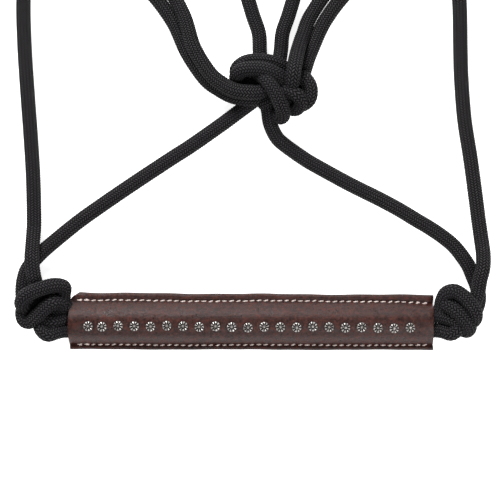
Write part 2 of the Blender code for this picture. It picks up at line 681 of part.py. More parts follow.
def build_crown(material, crown):
    """Eye loop and the doubled tail with its two tips."""
    add_rope("eye_loop", route_curve(EYE_LOOP), material["rope"], crown,
             round_start=True, round_end=True, step=LOOP_STEP)
    for strand, dense in zip(("inner", "outer"), strand_pair(CROWN)):
        add_rope(f"crown_strand_{strand}", dense, material["rope"], crown, round_start=True,
                 cut_end=TIP_LENGTH)
        last = even_points(dense, 0.0, lengths_along(dense)[-1] - TIP_LENGTH)[-2:]
        along = (last[1] - last[0]).normalized()
        points = [last[1] + along * GAP, last[1] + along * TIP_LENGTH]
        tip = swept_tube(points, TIP_D / 2, 12)
        name = f"tail_tip_{strand}"
        add_object(name, as_mesh(name, tip), material["tip"], crown)


def main():
    clear_scene()
    material = {
        "rope": make_material("rope", ROPE_BLACK, 0.85),
        "leather": make_material("leather", LEATHER_BROWN, 0.45),
        "lining": make_material("lining", LINING_BROWN, 0.75),
        "thread": make_material("thread", THREAD_CREAM, 0.8),
        "stud": make_material("stud", STUD_SILVER, 0.4, 1.0),
        "tip": make_material("tip", TIP_BLACK, 0.5),
    }
    root = add_empty("noseband_core", (0, 0, 0))
    sleeve = add_empty("sleeve_slide", (0, SLEEVE_AXIS_Y, sleeve_heights()["strand"]), root)
    headpiece = add_empty("headpiece_fold", (0, HEADPIECE_FOLD_Y, FOLD_Z), root)
    lead_loop = add_empty(
        "lead_loop_swing", (*laid_out(0.0125, LEAD_LOOP_FOLD_Y), FOLD_Z), headpiece)
    crown = add_empty("crown_fold", (*laid_out(0, CROWN_FOLD_Y), FOLD_Z), headpiece)
    build_noseband(material, root, sleeve)
    build_headpiece(material, headpiece, lead_loop)
    build_crown(material, crown)


main()
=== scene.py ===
import math

import bpy
import numpy as np
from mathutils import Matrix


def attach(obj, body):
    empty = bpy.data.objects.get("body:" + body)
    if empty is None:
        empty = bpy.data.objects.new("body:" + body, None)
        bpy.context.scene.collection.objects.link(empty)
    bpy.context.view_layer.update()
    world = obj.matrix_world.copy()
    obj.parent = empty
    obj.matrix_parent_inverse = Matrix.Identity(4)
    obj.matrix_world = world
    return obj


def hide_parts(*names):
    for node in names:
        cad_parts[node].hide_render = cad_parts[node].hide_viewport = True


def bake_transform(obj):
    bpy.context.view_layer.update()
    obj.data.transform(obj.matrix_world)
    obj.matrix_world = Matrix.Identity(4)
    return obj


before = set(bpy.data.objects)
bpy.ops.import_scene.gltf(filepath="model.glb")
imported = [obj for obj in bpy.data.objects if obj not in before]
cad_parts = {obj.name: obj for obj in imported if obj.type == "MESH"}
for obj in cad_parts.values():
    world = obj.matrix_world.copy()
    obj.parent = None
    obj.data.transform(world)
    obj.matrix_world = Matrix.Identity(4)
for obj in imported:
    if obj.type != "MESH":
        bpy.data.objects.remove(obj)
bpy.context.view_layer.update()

# ------------------------------------------------------------------ camera, light and floor
# The halter lies on a white table and is seen from straight above, under a large soft light with
# the brighter side towards the crown.
bpy.ops.object.select_all(action="DESELECT")
bpy.ops.object.camera_add(location=(-0.0010, 0.0463, 0.911), rotation=(0, 0, 0))
camera = bpy.context.object
camera.data.lens = 100
camera.data.sensor_width = 36
bpy.context.scene.camera = camera

bpy.ops.mesh.primitive_plane_add(size=6.0, location=(0, 0.2, -0.0002))
table = bpy.context.object
table.name = "table_top"
table_white = bpy.data.materials.new("table_white")
table_white.use_nodes = True
table_shader = table_white.node_tree.nodes["Principled BSDF"]
table_shader.inputs["Base Color"].default_value = (0.93, 0.93, 0.93, 1)
table_shader.inputs["Roughness"].default_value = 0.9
table_shader.inputs["Specular IOR Level"].default_value = 0.1
table_shader.inputs["Emission Color"].default_value = (1, 1, 1, 1)
table_shader.inputs["Emission Strength"].default_value = 0.85
table.data.materials.append(table_white)


def soft_light(name, place, aim, size, power):
    """A square area light at a place, turned to face a point."""
    bpy.ops.object.light_add(type="AREA", location=place)
    lamp = bpy.context.object
    lamp.name = name
    lamp.data.size = size
    lamp.data.energy = power
    away = lamp.location - type(lamp.location)(aim)
    lamp.rotation_mode = "QUATERNION"
    lamp.rotation_quaternion = away.to_track_quat("Z", "Y")


soft_light("crown_side_light", (-0.45, 1.28, 0.82), (0, 0.10, 0), 0.6, 35)
soft_light("nose_side_light", (0.55, -0.85, 1.15), (0, 0.05, 0), 0.9, 19)
world = bpy.data.worlds.new("white_room")
world.use_nodes = True
world.node_tree.nodes["Background"].inputs["Color"].default_value = (1, 1, 1, 1)
world.node_tree.nodes["Background"].inputs["Strength"].default_value = 0.24
bpy.context.scene.world = world
bpy.context.scene.view_settings.view_transform = "Standard"

# ------------------------------------------------------------------ braided rope
# One length of black polyester rope makes the whole halter. Its cover is a round two-over-two
# braid, so columns of yarn bundles lean left and right in turn and meet in chevrons.
ROPE_D = 0.0096
ROPE_R = ROPE_D / 2
GAP = 0.0003
REST_Z = ROPE_R + 0.0005
CROSS_Z = REST_Z + ROPE_D + 0.0006
PAIR_HALF = (ROPE_D + 2 * GAP) / 2
FOLD_Z = REST_Z
HEADPIECE_FOLD_Y = 0.0660
CROWN_FOLD_Y = 0.3000
LEAD_LOOP_FOLD_Y = 0.1880
BUNDLES = 14           # yarn bundles that lean each way
BUNDLE_PITCH = 0.0017  # from one chevron to the next along the rope
PER_BUNDLE = 4         # mesh corners over a bundle, each way
AROUND = PER_BUNDLE * BUNDLES
RING_STEP = BUNDLE_PITCH / PER_BUNDLE
BRAID_DEPTH = 0.00050


def curve_through(points, samples=24):
    """Dense points on a smooth curve through the given ones."""
    knots = [np.array(point, float) for point in points]
    padded = [2 * knots[0] - knots[1], *knots, 2 * knots[-1] - knots[-2]]
    dense = []
    for a, b, c, d in zip(padded, padded[1:], padded[2:], padded[3:]):
        for step in range(samples):
            t = step / samples
            dense.append(
                0.5 * (2 * b + (c - a) * t + (2 * a - 5 * b + 4 * c - d) * t**2
                       + (3 * b - a - 3 * c + d) * t**3)
            )
    dense.append(knots[-1])
    return np.array(dense)


def even_points(dense, step):
    """The same curve with evenly spaced points."""
    spans = np.linalg.norm(np.diff(dense, axis=0), axis=1)
    total = np.concatenate([[0.0], np.cumsum(spans)])
    count = max(3, int(round(total[-1] / step)) + 1)
    places = np.linspace(0.0, total[-1], count)
    return np.stack([np.interp(places, total, dense[:, axis]) for axis in range(3)], axis=1)


def strand_pair(route):
    """The two strands of a doubled rope, from its middle and the roll and lift of the pair."""
    middle = curve_through([(x, y, lift) for x, y, _, lift in route])
    rolls = curve_through([(roll, 0.0, 0.0) for _, _, roll, _ in route])[:, 0]
    along = np.gradient(middle[:, :2], axis=0)
    along /= np.linalg.norm(along, axis=1)[:, None]
    turn = np.radians(rolls)
    offset = (PAIR_HALF + 0.00015) * np.stack(
        [along[:, 1] * np.cos(turn), -along[:, 0] * np.cos(turn), np.sin(turn)], axis=1)
    height = REST_Z + PAIR_HALF * np.abs(np.sin(turn)) + np.maximum(middle[:, 2], 0.0)
    centre = np.stack([middle[:, 0], middle[:, 1], height], axis=1)
    return centre + offset, centre - offset


def braid_height(u, v):
    """Height of the braid's surface, 0 in its valleys to 1, at u bundles round and v along."""
    a, b = u + v, u - v
    cell_a, cell_b = np.floor(a), np.floor(b)
    column = np.mod(cell_a + cell_b, 4)
    leans_a = column < 2
    across = np.where(leans_a, a - cell_a, b - cell_b)
    run = np.where(leans_a, column + (b - cell_b), column - 2 + (a - cell_a))
    crown = np.sin(np.pi * across) ** 0.7
    arch = np.sin(np.pi * np.clip(run / 2, 0, 1)) ** 0.6
    return crown * (0.35 + 0.65 * arch)


def ring_frames(points):
    """A tangent and two side directions at each point, carried along without twist."""
    tangent = np.gradient(points, axis=0)
    tangent /= np.linalg.norm(tangent, axis=1)[:, None]
    side = np.cross(tangent[0], (0.31, 0.17, 0.93))
    sides = []
    for direction in tangent:
        side = side - direction * side.dot(direction)
        side = side / np.linalg.norm(side)
        sides.append(side)
    sides = np.array(sides)
    return tangent, sides, np.cross(tangent, sides)


def braided_rope(name, routes):
    """A mesh of braided rope along each route, with its ends closed."""
    corners, quads, caps, maps = [], [], [], []
    base = 0
    for number, route in enumerate(routes):
        points = even_points(np.asarray(route), RING_STEP)
        count = len(points)
        tangent, side, up = ring_frames(points)
        u = np.arange(AROUND) / PER_BUNDLE + 0.25 + 0.5 * number
        v = np.arange(count) / PER_BUNDLE
        grid_u, grid_v = np.meshgrid(u, v)
        height = braid_height(grid_u, grid_v)
        from_start = np.arange(count) * RING_STEP
        from_end = from_start[::-1]
        shrink = np.ones(count)
        for distance in (from_start, from_end):
            part = np.clip(distance / (0.8 * ROPE_R), 0.02, 1)
            shrink *= np.sqrt(1 - (1 - part) ** 2)
        radius = (ROPE_R - 0.45 * BRAID_DEPTH + BRAID_DEPTH * (height - 0.35)) * shrink[:, None]
        angle = 2 * np.pi * grid_u / BUNDLES
        ring = (points[:, None, :]
                + radius[..., None] * (np.cos(angle)[..., None] * side[:, None, :]
                                       + np.sin(angle)[..., None] * up[:, None, :]))
        corners.append(ring.reshape(-1, 3))
        row = np.arange(count - 1)[:, None] * AROUND
        here = np.arange(AROUND)[None, :]
        after = (here + 1) % AROUND
        quads.append((base + np.stack(
            [row + here, row + after, row + AROUND + after, row + AROUND + here],
            axis=-1)).reshape(-1, 4))
        near_v = np.broadcast_to(v[:-1, None], (count - 1, AROUND))
        near_u = np.broadcast_to(u[None, :], (count - 1, AROUND))
        far_u, far_v = near_u + 1 / PER_BUNDLE, near_v + 1 / PER_BUNDLE
        maps.append(np.stack([
            np.stack([near_u, near_v], -1), np.stack([far_u, near_v], -1),
            np.stack([far_u, far_v], -1), np.stack([near_u, far_v], -1),
        ], axis=2).reshape(-1, 2))
        caps.append(base + np.arange(AROUND)[::-1])
        caps.append(base + (count - 1) * AROUND + np.arange(AROUND))
        base += count * AROUND
    corners, quads = np.concatenate(corners), np.concatenate(quads)
    mesh = bpy.data.meshes.new(name)
    loops = np.concatenate([quads.ravel(), *caps])
    sizes = np.concatenate([np.full(len(quads), 4), np.full(len(caps), AROUND)])
    mesh.vertices.add(len(corners))
    mesh.vertices.foreach_set("co", corners.ravel())
    mesh.loops.add(len(loops))
    mesh.loops.foreach_set("vertex_index", loops.astype(np.int32))
    mesh.polygons.add(len(sizes))
    mesh.polygons.foreach_set(
        "loop_start", np.concatenate([[0], np.cumsum(sizes)[:-1]]).astype(np.int32))
    mesh.update(calc_edges=True)
    uv = mesh.uv_layers.new(name="braid_map")
    cap_map = np.zeros((len(caps) * AROUND, 2))
    uv.data.foreach_set("uv", np.concatenate([*maps, cap_map]).ravel().astype(np.float32))
    mesh.shade_smooth()
    mesh.validate()
    piece = bpy.data.objects.new(name, mesh)
    bpy.context.scene.collection.objects.link(piece)
    mesh.materials.append(rope_black)
    return piece


def node_at(tree, kind, **settings):
    """A new node, with its properties and unlinked inputs set by name."""
    node = tree.nodes.new(kind)
    for key, value in settings.items():
        if key.startswith("in_"):
            socket = key[3:]
            node.inputs[int(socket) if socket.isdigit() else socket].default_value = value
        else:
            setattr(node, key, value)
    return node


def new_finish(name):
    """A new material, its node tree, its shader and its texture coordinates."""
    material = bpy.data.materials.new(name)
    material.use_nodes = True
    tree = material.node_tree
    return material, tree, tree.nodes["Principled BSDF"], tree.nodes.new("ShaderNodeTexCoord")


def fine_grain_group():
    """Node group: a fine two-scale grain, used by every finish on the halter."""
    tree = bpy.data.node_groups.new("fine_grain", "ShaderNodeTree")
    face = tree.interface
    face.new_socket("Vector", in_out="INPUT", socket_type="NodeSocketVector")
    face.new_socket("Scale", in_out="INPUT", socket_type="NodeSocketFloat")
    face.new_socket("Contrast", in_out="INPUT", socket_type="NodeSocketFloat")
    face.new_socket("Value", in_out="OUTPUT", socket_type="NodeSocketFloat")
    enter = tree.nodes.new("NodeGroupInput")
    leave = tree.nodes.new("NodeGroupOutput")
    coarse = node_at(tree, "ShaderNodeTexNoise", in_Detail=5.0, in_Roughness=0.6)
    fine = node_at(tree, "ShaderNodeTexNoise", in_Detail=3.0, in_Roughness=0.5)
    larger = node_at(tree, "ShaderNodeMath", operation="MULTIPLY", in_1=5.3)
    mixed = node_at(tree, "ShaderNodeMix", data_type="FLOAT", in_0=0.4)
    centred = node_at(tree, "ShaderNodeMath", operation="SUBTRACT", in_1=0.5)
    spread = node_at(tree, "ShaderNodeMath", operation="MULTIPLY")
    shifted = node_at(tree, "ShaderNodeMath", operation="ADD", in_1=0.5, use_clamp=True)
    link = tree.links.new
    link(enter.outputs["Vector"], coarse.inputs["Vector"])
    link(enter.outputs["Vector"], fine.inputs["Vector"])
    link(enter.outputs["Scale"], coarse.inputs["Scale"])
    link(enter.outputs["Scale"], larger.inputs[0])
    link(larger.outputs[0], fine.inputs["Scale"])
    link(coarse.outputs["Fac"], mixed.inputs[2])
    link(fine.outputs["Fac"], mixed.inputs[3])
    link(mixed.outputs[0], centred.inputs[0])
    link(centred.outputs[0], spread.inputs[0])
    link(enter.outputs["Contrast"], spread.inputs[1])
    link(spread.outputs[0], shifted.inputs[0])
    link(shifted.outputs[0], leave.inputs["Value"])
    return tree


fine_grain = fine_grain_group()


def grain_node(tree, vector, scale, contrast):
    """The grain group in a material, on a vector socket."""
    node = node_at(tree, "ShaderNodeGroup", node_tree=fine_grain)
    tree.links.new(vector, node.inputs["Vector"])
    node.inputs["Scale"].default_value = scale
    node.inputs["Contrast"].default_value = contrast
    return node.outputs["Value"]


def blend_colours(tree, factor, dark, light):
    """A colour between two, by a factor socket."""
    mix = node_at(tree, "ShaderNodeMix", data_type="RGBA")
    tree.links.new(factor, mix.inputs[0])
    for socket, colour in ((mix.inputs[6], dark), (mix.inputs[7], light)):
        if isinstance(colour, tuple):
            socket.default_value = (*colour, 1)
        else:
            tree.links.new(colour, socket)
    return mix.outputs[2]


def map_value(tree, value, low, high, to_low=0.0, to_high=1.0):
    """Stretch a value socket from one range to another."""
    node = node_at(tree, "ShaderNodeMapRange")
    tree.links.new(value, node.inputs[0])
    for index, number in zip((1, 2, 3, 4), (low, high, to_low, to_high)):
        node.inputs[index].default_value = number
    return node.outputs[0]


def bump_node(tree, height, strength, distance, below=None):
    """A bump from a height socket, on top of another bump's normal if one is given."""
    node = node_at(tree, "ShaderNodeBump", in_Strength=strength, in_Distance=distance)
    tree.links.new(height, node.inputs["Height"])
    if below is not None:
        tree.links.new(below, node.inputs["Normal"])
    return node.outputs["Normal"]


def math_node(tree, operation, first, second=None, clamp=False):
    """A math node fed by sockets or numbers; gives its output socket."""
    node = node_at(tree, "ShaderNodeMath", operation=operation, use_clamp=clamp)
    for socket, value in zip(node.inputs, (first, second)):
        if isinstance(value, (int, float)):
            socket.default_value = value
        elif value is not None:
            tree.links.new(value, socket)
    return node.outputs[0]


def mix_values(tree, factor, low, high):
    """One of two value sockets, or a mix of them, by a factor socket."""
    node = node_at(tree, "ShaderNodeMix", data_type="FLOAT")
    for socket, value in zip((node.inputs[0], node.inputs[2], node.inputs[3]),
                             (factor, low, high)):
        tree.links.new(value, socket)
    return node.outputs[0]


def braid_group():
    """Node group: the two-over-two braid, as height, hairs and a random value for each bundle."""
    tree = bpy.data.node_groups.new("two_over_two_braid", "ShaderNodeTree")
    face = tree.interface
    face.new_socket("Vector", in_out="INPUT", socket_type="NodeSocketVector")
    for name in ("Height", "Hairs", "Bundle"):
        face.new_socket(name, in_out="OUTPUT", socket_type="NodeSocketFloat")
    enter = tree.nodes.new("NodeGroupInput")
    leave = tree.nodes.new("NodeGroupOutput")
    split = tree.nodes.new("ShaderNodeSeparateXYZ")
    tree.links.new(enter.outputs["Vector"], split.inputs[0])
    a = math_node(tree, "ADD", split.outputs["X"], split.outputs["Y"])
    b = math_node(tree, "SUBTRACT", split.outputs["X"], split.outputs["Y"])
    cell_a, cell_b = math_node(tree, "FLOOR", a), math_node(tree, "FLOOR", b)
    part_a, part_b = math_node(tree, "SUBTRACT", a, cell_a), math_node(tree, "SUBTRACT", b, cell_b)
    column = math_node(tree, "FLOORED_MODULO", math_node(tree, "ADD", cell_a, cell_b), 4.0)
    leans_b = math_node(tree, "GREATER_THAN", column, 1.5)
    across = mix_values(tree, leans_b, part_a, part_b)
    run = mix_values(tree, leans_b, math_node(tree, "ADD", column, part_b),
                     math_node(tree, "ADD", math_node(tree, "SUBTRACT", column, 2.0), part_a))
    round_over = math_node(tree, "SINE", math_node(tree, "MULTIPLY", across, math.pi))
    round_over = math_node(tree, "POWER", math_node(tree, "MAXIMUM", round_over, 0.0), 0.7)
    arch = math_node(tree, "SINE", math_node(tree, "MULTIPLY", run, math.pi / 2))
    arch = math_node(tree, "POWER", math_node(tree, "MAXIMUM", arch, 0.0), 0.6)
    arch = math_node(tree, "ADD", math_node(tree, "MULTIPLY", arch, 0.65), 0.35)
    height = math_node(tree, "MULTIPLY", round_over, arch)
    hairs = []
    for first, second in ((a, b), (b, a)):
        joined = tree.nodes.new("ShaderNodeCombineXYZ")
        tree.links.new(math_node(tree, "MULTIPLY", first, 6.0), joined.inputs[0])
        tree.links.new(second, joined.inputs[1])
        hair = node_at(tree, "ShaderNodeTexNoise", in_Scale=1.5, in_Detail=2.0)
        tree.links.new(joined.outputs[0], hair.inputs["Vector"])
        hairs.append(hair.outputs["Fac"])
    which = tree.nodes.new("ShaderNodeCombineXYZ")
    tree.links.new(mix_values(tree, leans_b, cell_a, cell_b), which.inputs[0])
    tree.links.new(leans_b, which.inputs[1])
    tree.links.new(math_node(tree, "FLOOR", split.outputs["X"]), which.inputs[2])
    shade = node_at(tree, "ShaderNodeTexWhiteNoise", noise_dimensions="3D")
    tree.links.new(which.outputs[0], shade.inputs["Vector"])
    tree.links.new(height, leave.inputs["Height"])
    tree.links.new(mix_values(tree, leans_b, hairs[0], hairs[1]), leave.inputs["Hairs"])
    tree.links.new(shade.outputs["Value"], leave.inputs["Bundle"])
    return tree


def rope_finish():
    """Black polyester with painted light: painted shade makes the valleys near-black, and painted highlight
    makes the yarn crowns greyer and the hairs along each bundle lighter.
    """
    material, tree, shader, places = new_finish("rope_black")
    link = tree.links.new
    braid = node_at(tree, "ShaderNodeGroup", node_tree=braid_group())
    link(places.outputs["UV"], braid.inputs["Vector"])
    height, hairs = braid.outputs["Height"], braid.outputs["Hairs"]
    speckle = grain_node(tree, places.outputs["Object"], 1100.0, 2.6)
    patches = grain_node(tree, places.outputs["Object"], 30.0, 2.2)
    crown = map_value(tree, height, 0.48, 1.0)
    # Painted shade and highlight: the braid's valleys are painted near-black and its yarn crowns greyer.
    body = blend_colours(tree, crown, (0.0002, 0.0002, 0.0003), (0.016, 0.0148, 0.0162))
    # Painted highlight: the hairs on the yarn crowns are painted lighter, towards the lit grey.
    fibre = math_node(tree, "MULTIPLY", map_value(tree, hairs, 0.38, 0.66), crown)
    lit = blend_colours(tree, math_node(tree, "MULTIPLY", fibre, 0.8), body,
                        (0.070, 0.064, 0.069))
    # Painted highlight: sparse bright specks, glints on the yarn crowns, dimmer on some bundles.
    wear_and_glints = math_node(tree, "MULTIPLY", map_value(tree, speckle, 0.55, 1.0), crown)
    wear_and_glints = math_node(tree, "MULTIPLY", wear_and_glints, map_value(tree, braid.outputs["Bundle"], 0, 1, 0.2, 1))
    specked = blend_colours(tree, math_node(tree, "MULTIPLY", wear_and_glints, 0.7), lit,
                            (0.15, 0.142, 0.148))
    tinted = blend_colours(tree, map_value(tree, patches, 0.35, 0.85, 0.0, 0.4), specked,
                           (0.0085, 0.0073, 0.0100))
    link(tinted, shader.inputs["Base Color"])
    link(map_value(tree, crown, 0.0, 1.0, 0.95, 0.55), shader.inputs["Roughness"])
    shader.inputs["Specular IOR Level"].default_value = 0.16
    woven = bump_node(tree, height, 1.0, 0.00040)
    link(bump_node(tree, hairs, 0.5, 0.00008, woven), shader.inputs["Normal"])
    return material


rope_black = rope_finish()

# ------------------------------------------------------------------ cheek and chin ropes
# Two single runs rise from each side knot: the cheek rope goes straight up to the cheek knot and
# the chin rope slants in to the fiador knot. Each runs on into the knots at its ends.
CHEEK_LEFT = [
    (-0.1361, -0.0010, 0.0080), (-0.1366, 0.0060, 0.0062), (-0.1372, 0.0140, 0.0082),
    (-0.1388, 0.0215, 0.0125), (-0.1405, 0.0300, CROSS_Z), (-0.1417, 0.0400, CROSS_Z),
    (-0.1418, 0.0500, REST_Z + 0.0060), (-0.1418, 0.0585, REST_Z + 0.0018),
    (-0.1418, HEADPIECE_FOLD_Y, FOLD_Z), (-0.1424, 0.0930, REST_Z), (-0.1439, 0.1185, REST_Z),
    (-0.1458, 0.1445, REST_Z), (-0.1479, 0.1763, REST_Z), (-0.1488, 0.2050, REST_Z),
    (-0.1475, 0.2300, REST_Z), (-0.1440, 0.2520, REST_Z + 0.0020), (-0.1410, 0.2640, 0.0110),
]
CHEEK_RIGHT = [
    (0.1405, 0.0010, 0.0085), (0.1425, 0.0070, 0.0105), (0.1448, 0.0135, 0.0128),
    (0.1465, 0.0205, 0.0142), (0.1474, 0.0272, 0.0154), (0.1492, 0.0345, CROSS_Z),
    (0.1500, 0.0435, REST_Z + 0.0066), (0.1494, 0.0541, REST_Z + 0.0018),
    (0.1480, HEADPIECE_FOLD_Y, FOLD_Z), (0.1462, 0.0801, REST_Z), (0.1428, 0.1055, REST_Z),
    (0.1388, 0.1315, REST_Z), (0.1368, 0.1572, REST_Z), (0.1362, 0.1763, REST_Z),
    (0.1357, 0.2050, REST_Z), (0.1340, 0.2300, REST_Z), (0.1310, 0.2520, REST_Z + 0.0020),
    (0.1285, 0.2640, 0.0110),
]
CHIN_LEFT = [
    (-0.1478, 0.0060, 0.0085), (-0.1484, 0.0140, 0.0090), (-0.1487, 0.0210, 0.0085),
    (-0.1481, 0.0280, 0.0065), (-0.1455, 0.0350, REST_Z), (-0.1372, 0.0444, REST_Z),
    (-0.1220, 0.0574, REST_Z), (-0.1111, HEADPIECE_FOLD_Y, FOLD_Z), (-0.1013, 0.0730, REST_Z),
    (-0.0805, 0.0873, REST_Z), (-0.0530, 0.1055, REST_Z), (-0.0393, 0.1143, REST_Z),
    (-0.0185, 0.1289, REST_Z), (-0.0062, 0.1380, REST_Z), (0.0040, 0.1455, REST_Z + 0.0010),
]
CHIN_RIGHT = [
    (0.1425, 0.0020, 0.0085), (0.1460, 0.0080, 0.0088), (0.1478, 0.0150, 0.0080),
    (0.1468, 0.0222, 0.0068), (0.1442, 0.0295, REST_Z), (0.1416, 0.0358, REST_Z),
    (0.1378, 0.0416, REST_Z),
    (0.1320, 0.0488, REST_Z), (0.1243, 0.0552, REST_Z), (0.1155, 0.0611, REST_Z),
    (0.1072, HEADPIECE_FOLD_Y, FOLD_Z), (0.0965, 0.0725, REST_Z),
    (0.0835, 0.0795, REST_Z), (0.0640, 0.0892, REST_Z), (0.0418, 0.1013, REST_Z),
    (0.0335, 0.1063, REST_Z), (0.0218, 0.1146, REST_Z), (0.0162, 0.1200, REST_Z),
    (0.0122, 0.1285, REST_Z + 0.0010), (0.0108, 0.1370, REST_Z + 0.0025),
    (0.0090, 0.1440, REST_Z + 0.0040),
]


def free_rope(name, dense, node, body, folds_from=None):
    """A braided run in place of a cord, whose model part is hidden; it is attached to its body, or, when
    folds_from is given, its placement is baked into its mesh.
    """
    rope = braided_rope(name, [dense])
    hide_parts(node)
    if folds_from is None:
        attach(rope, body)
    else:
        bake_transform(rope)


for side, cheek, chin in (("left", CHEEK_LEFT, CHIN_LEFT), ("right", CHEEK_RIGHT, CHIN_RIGHT)):
    for kind, route in (("cheek", cheek), ("chin", chin)):
        free_rope(f"{kind}_rope_{side}_braid", curve_through(route), f"{kind}_rope_{side}",
                  "headpiece", "noseband_core")

# ------------------------------------------------------------------ throatlatch
# Two strands lie together from the fiador knot to each cheek knot. On the left they leave the
# knot one on top of the other and settle side by side; on the right the inner one lies on top.
THROAT_LEFT = [
    (0.0100, 0.1480, 72, 0.0020), (0.0040, 0.1462, 72, 0.0045), (-0.0040, 0.1460, 72, 0.0055),
    (-0.0120, 0.1476, 72, 0.0042), (-0.0205, 0.1524, 70, 0.0016), (-0.0290, 0.1596, 66, 0.0004),
    (-0.0397, 0.1763, 60, 0.0), (-0.0480, 0.1975, 40, 0.0), (-0.0620, 0.2180, 12, 0.0),
    (-0.0830, 0.2360, 0, 0.0), (-0.1030, 0.2500, 0, 0.0), (-0.1240, 0.2630, 0, 0.0010),
]
THROAT_RIGHT_INNER = [
    (0.0205, 0.1480, 0.0100), (0.0246, 0.1488, 0.0160), (0.0258, 0.1530, 0.0222),
    (0.0266, 0.1590, 0.0246), (0.0277, 0.1660, 0.0222), (0.0298, 0.1750, 0.0148),
    (0.0334, 0.1860, 0.0080), (0.0391, 0.2000, REST_Z), (0.0540, 0.2208, REST_Z),
    (0.0742, 0.2391, REST_Z), (0.0942, 0.2538, REST_Z), (0.1100, 0.2660, REST_Z + 0.0010),
]
THROAT_RIGHT_OUTER = [
    (0.0300, 0.1500, 0.0080), (0.0328, 0.1580, 0.0090), (0.0356, 0.1670, 0.0082),
    (0.0390, 0.1763, 0.0066), (0.0477, 0.1953, REST_Z), (0.0620, 0.2142, REST_Z),
    (0.0814, 0.2313, REST_Z), (0.1002, 0.2452, REST_Z), (0.1160, 0.2580, REST_Z + 0.0010),
]
throat_left_inner, throat_left_outer = strand_pair(THROAT_LEFT)
for name, dense in (
    ("throat_rope_left_inner", throat_left_inner), ("throat_rope_left_outer", throat_left_outer),
    ("throat_rope_right_inner", curve_through(THROAT_RIGHT_INNER)),
    ("throat_rope_right_outer", curve_through(THROAT_RIGHT_OUTER)),
):
    free_rope(f"{name}_braid", dense, name, "headpiece")

# ------------------------------------------------------------------ lead loop and eye loop
# The lead loop is a bight left standing out of the fiador knot, where the lead rope is tied. The
# eye loop stands out of the left cheek knot; the crown tail is passed through it and tied.
LEAD_LOOP = [
    (0.0062, 0.1600, 0.0090), (0.0057, 0.1680, 0.0078), (0.0053, 0.1770, 0.0058),
    (0.0047, LEAD_LOOP_FOLD_Y, FOLD_Z), (0.0004, 0.2010, REST_Z), (-0.0028, 0.2150, REST_Z),
    (0.0008, 0.2300, REST_Z), (0.0125, 0.2375, REST_Z), (0.0242, 0.2300, REST_Z),
    (0.0278, 0.2150, REST_Z), (0.0246, 0.2010, REST_Z), (0.0203, LEAD_LOOP_FOLD_Y, FOLD_Z),
    (0.0192, 0.1770, 0.0070), (0.0180, 0.1690, 0.0105), (0.0160, 0.1610, 0.0110),
]
EYE_LOOP = [
    (-0.1430, 0.2680, 0.0110), (-0.1445, 0.2780, 0.0085), (-0.1455, 0.2880, REST_Z),
    (-0.1460, CROWN_FOLD_Y, FOLD_Z), (-0.1505, 0.3140, REST_Z), (-0.1530, 0.3290, REST_Z),
    (-0.1495, 0.3460, REST_Z), (-0.1380, 0.3550, REST_Z), (-0.1265, 0.3460, REST_Z),
    (-0.1230, 0.3290, REST_Z), (-0.1255, 0.3140, REST_Z), (-0.1300, CROWN_FOLD_Y, FOLD_Z),
    (-0.1305, 0.2880, REST_Z), (-0.1315, 0.2780, 0.0085), (-0.1330, 0.2680, 0.0110),
]
free_rope("lead_loop_braid", curve_through(LEAD_LOOP), "lead_loop", "lead_loop_body",
          "headpiece")
free_rope("eye_loop_braid", curve_through(EYE_LOOP), "eye_loop", "crown",
          "headpiece")

# ------------------------------------------------------------------ crown tail
# The two ends of the rope leave the right cheek knot side by side, long enough to pass over the
# poll and tie in the eye loop. Untied, they lie in a loose bend. Each end is whipped with twine.
CROWN = [
    (0.1260, 0.2640, 0, 0.0050), (0.1260, 0.2760, 0, 0.0030), (0.1260, 0.2880, 0, 0.0),
    (0.1260, CROWN_FOLD_Y, 0, 0.0), (0.1240, 0.3350, 0, 0.0), (0.1100, 0.3800, 0, 0.0),
    (0.0780, 0.4160, 0, 0.0), (0.0250, 0.4360, 0, 0.0), (-0.0300, 0.4360, 0, 0.0),
    (-0.0760, 0.4180, 0, 0.0), (-0.0980, 0.3880, 0, 0.0), (-0.0900, 0.3580, 0, 0.0),
    (-0.0620, 0.3440, 0, 0.0), (-0.0250, 0.3500, 0, 0.0), (0.0120, 0.3620, 0, 0.0),
    (0.0480, 0.3600, 0, 0.0), (0.0700, 0.3450, 0, 0.0), (0.0840, 0.3220, 0, 0.0),
]
TIP_LENGTH = 0.014


def whipping_finish():
    """Black waxed twine wound tight round the rope's end."""
    material, tree, shader, places = new_finish("whipping_twine")
    grain = grain_node(tree, places.outputs["Object"], 1400.0, 2.0)
    colour = blend_colours(tree, grain, (0.006, 0.006, 0.007), (0.030, 0.029, 0.030))
    tree.links.new(colour, shader.inputs["Base Color"])
    tree.links.new(bump_node(tree, grain, 0.5, 0.0001), shader.inputs["Normal"])
    shader.inputs["Roughness"].default_value = 0.55
    return material


whipping_twine = whipping_finish()


def close_rolled_grid(weld, smooth_angle):
    """Weld the seam of the active rolled-up grid, cap its open ends and shade it smooth."""
    bpy.ops.object.mode_set(mode="EDIT")
    bpy.ops.mesh.select_all(action="SELECT")
    bpy.ops.mesh.remove_doubles(threshold=weld)
    bpy.ops.mesh.select_all(action="DESELECT")
    bpy.ops.mesh.select_non_manifold()
    bpy.ops.mesh.edge_face_add()
    bpy.ops.mesh.select_all(action="SELECT")
    bpy.ops.mesh.normals_make_consistent(inside=False)
    bpy.ops.object.mode_set(mode="OBJECT")
    bpy.ops.object.shade_smooth_by_angle(angle=math.radians(smooth_angle))


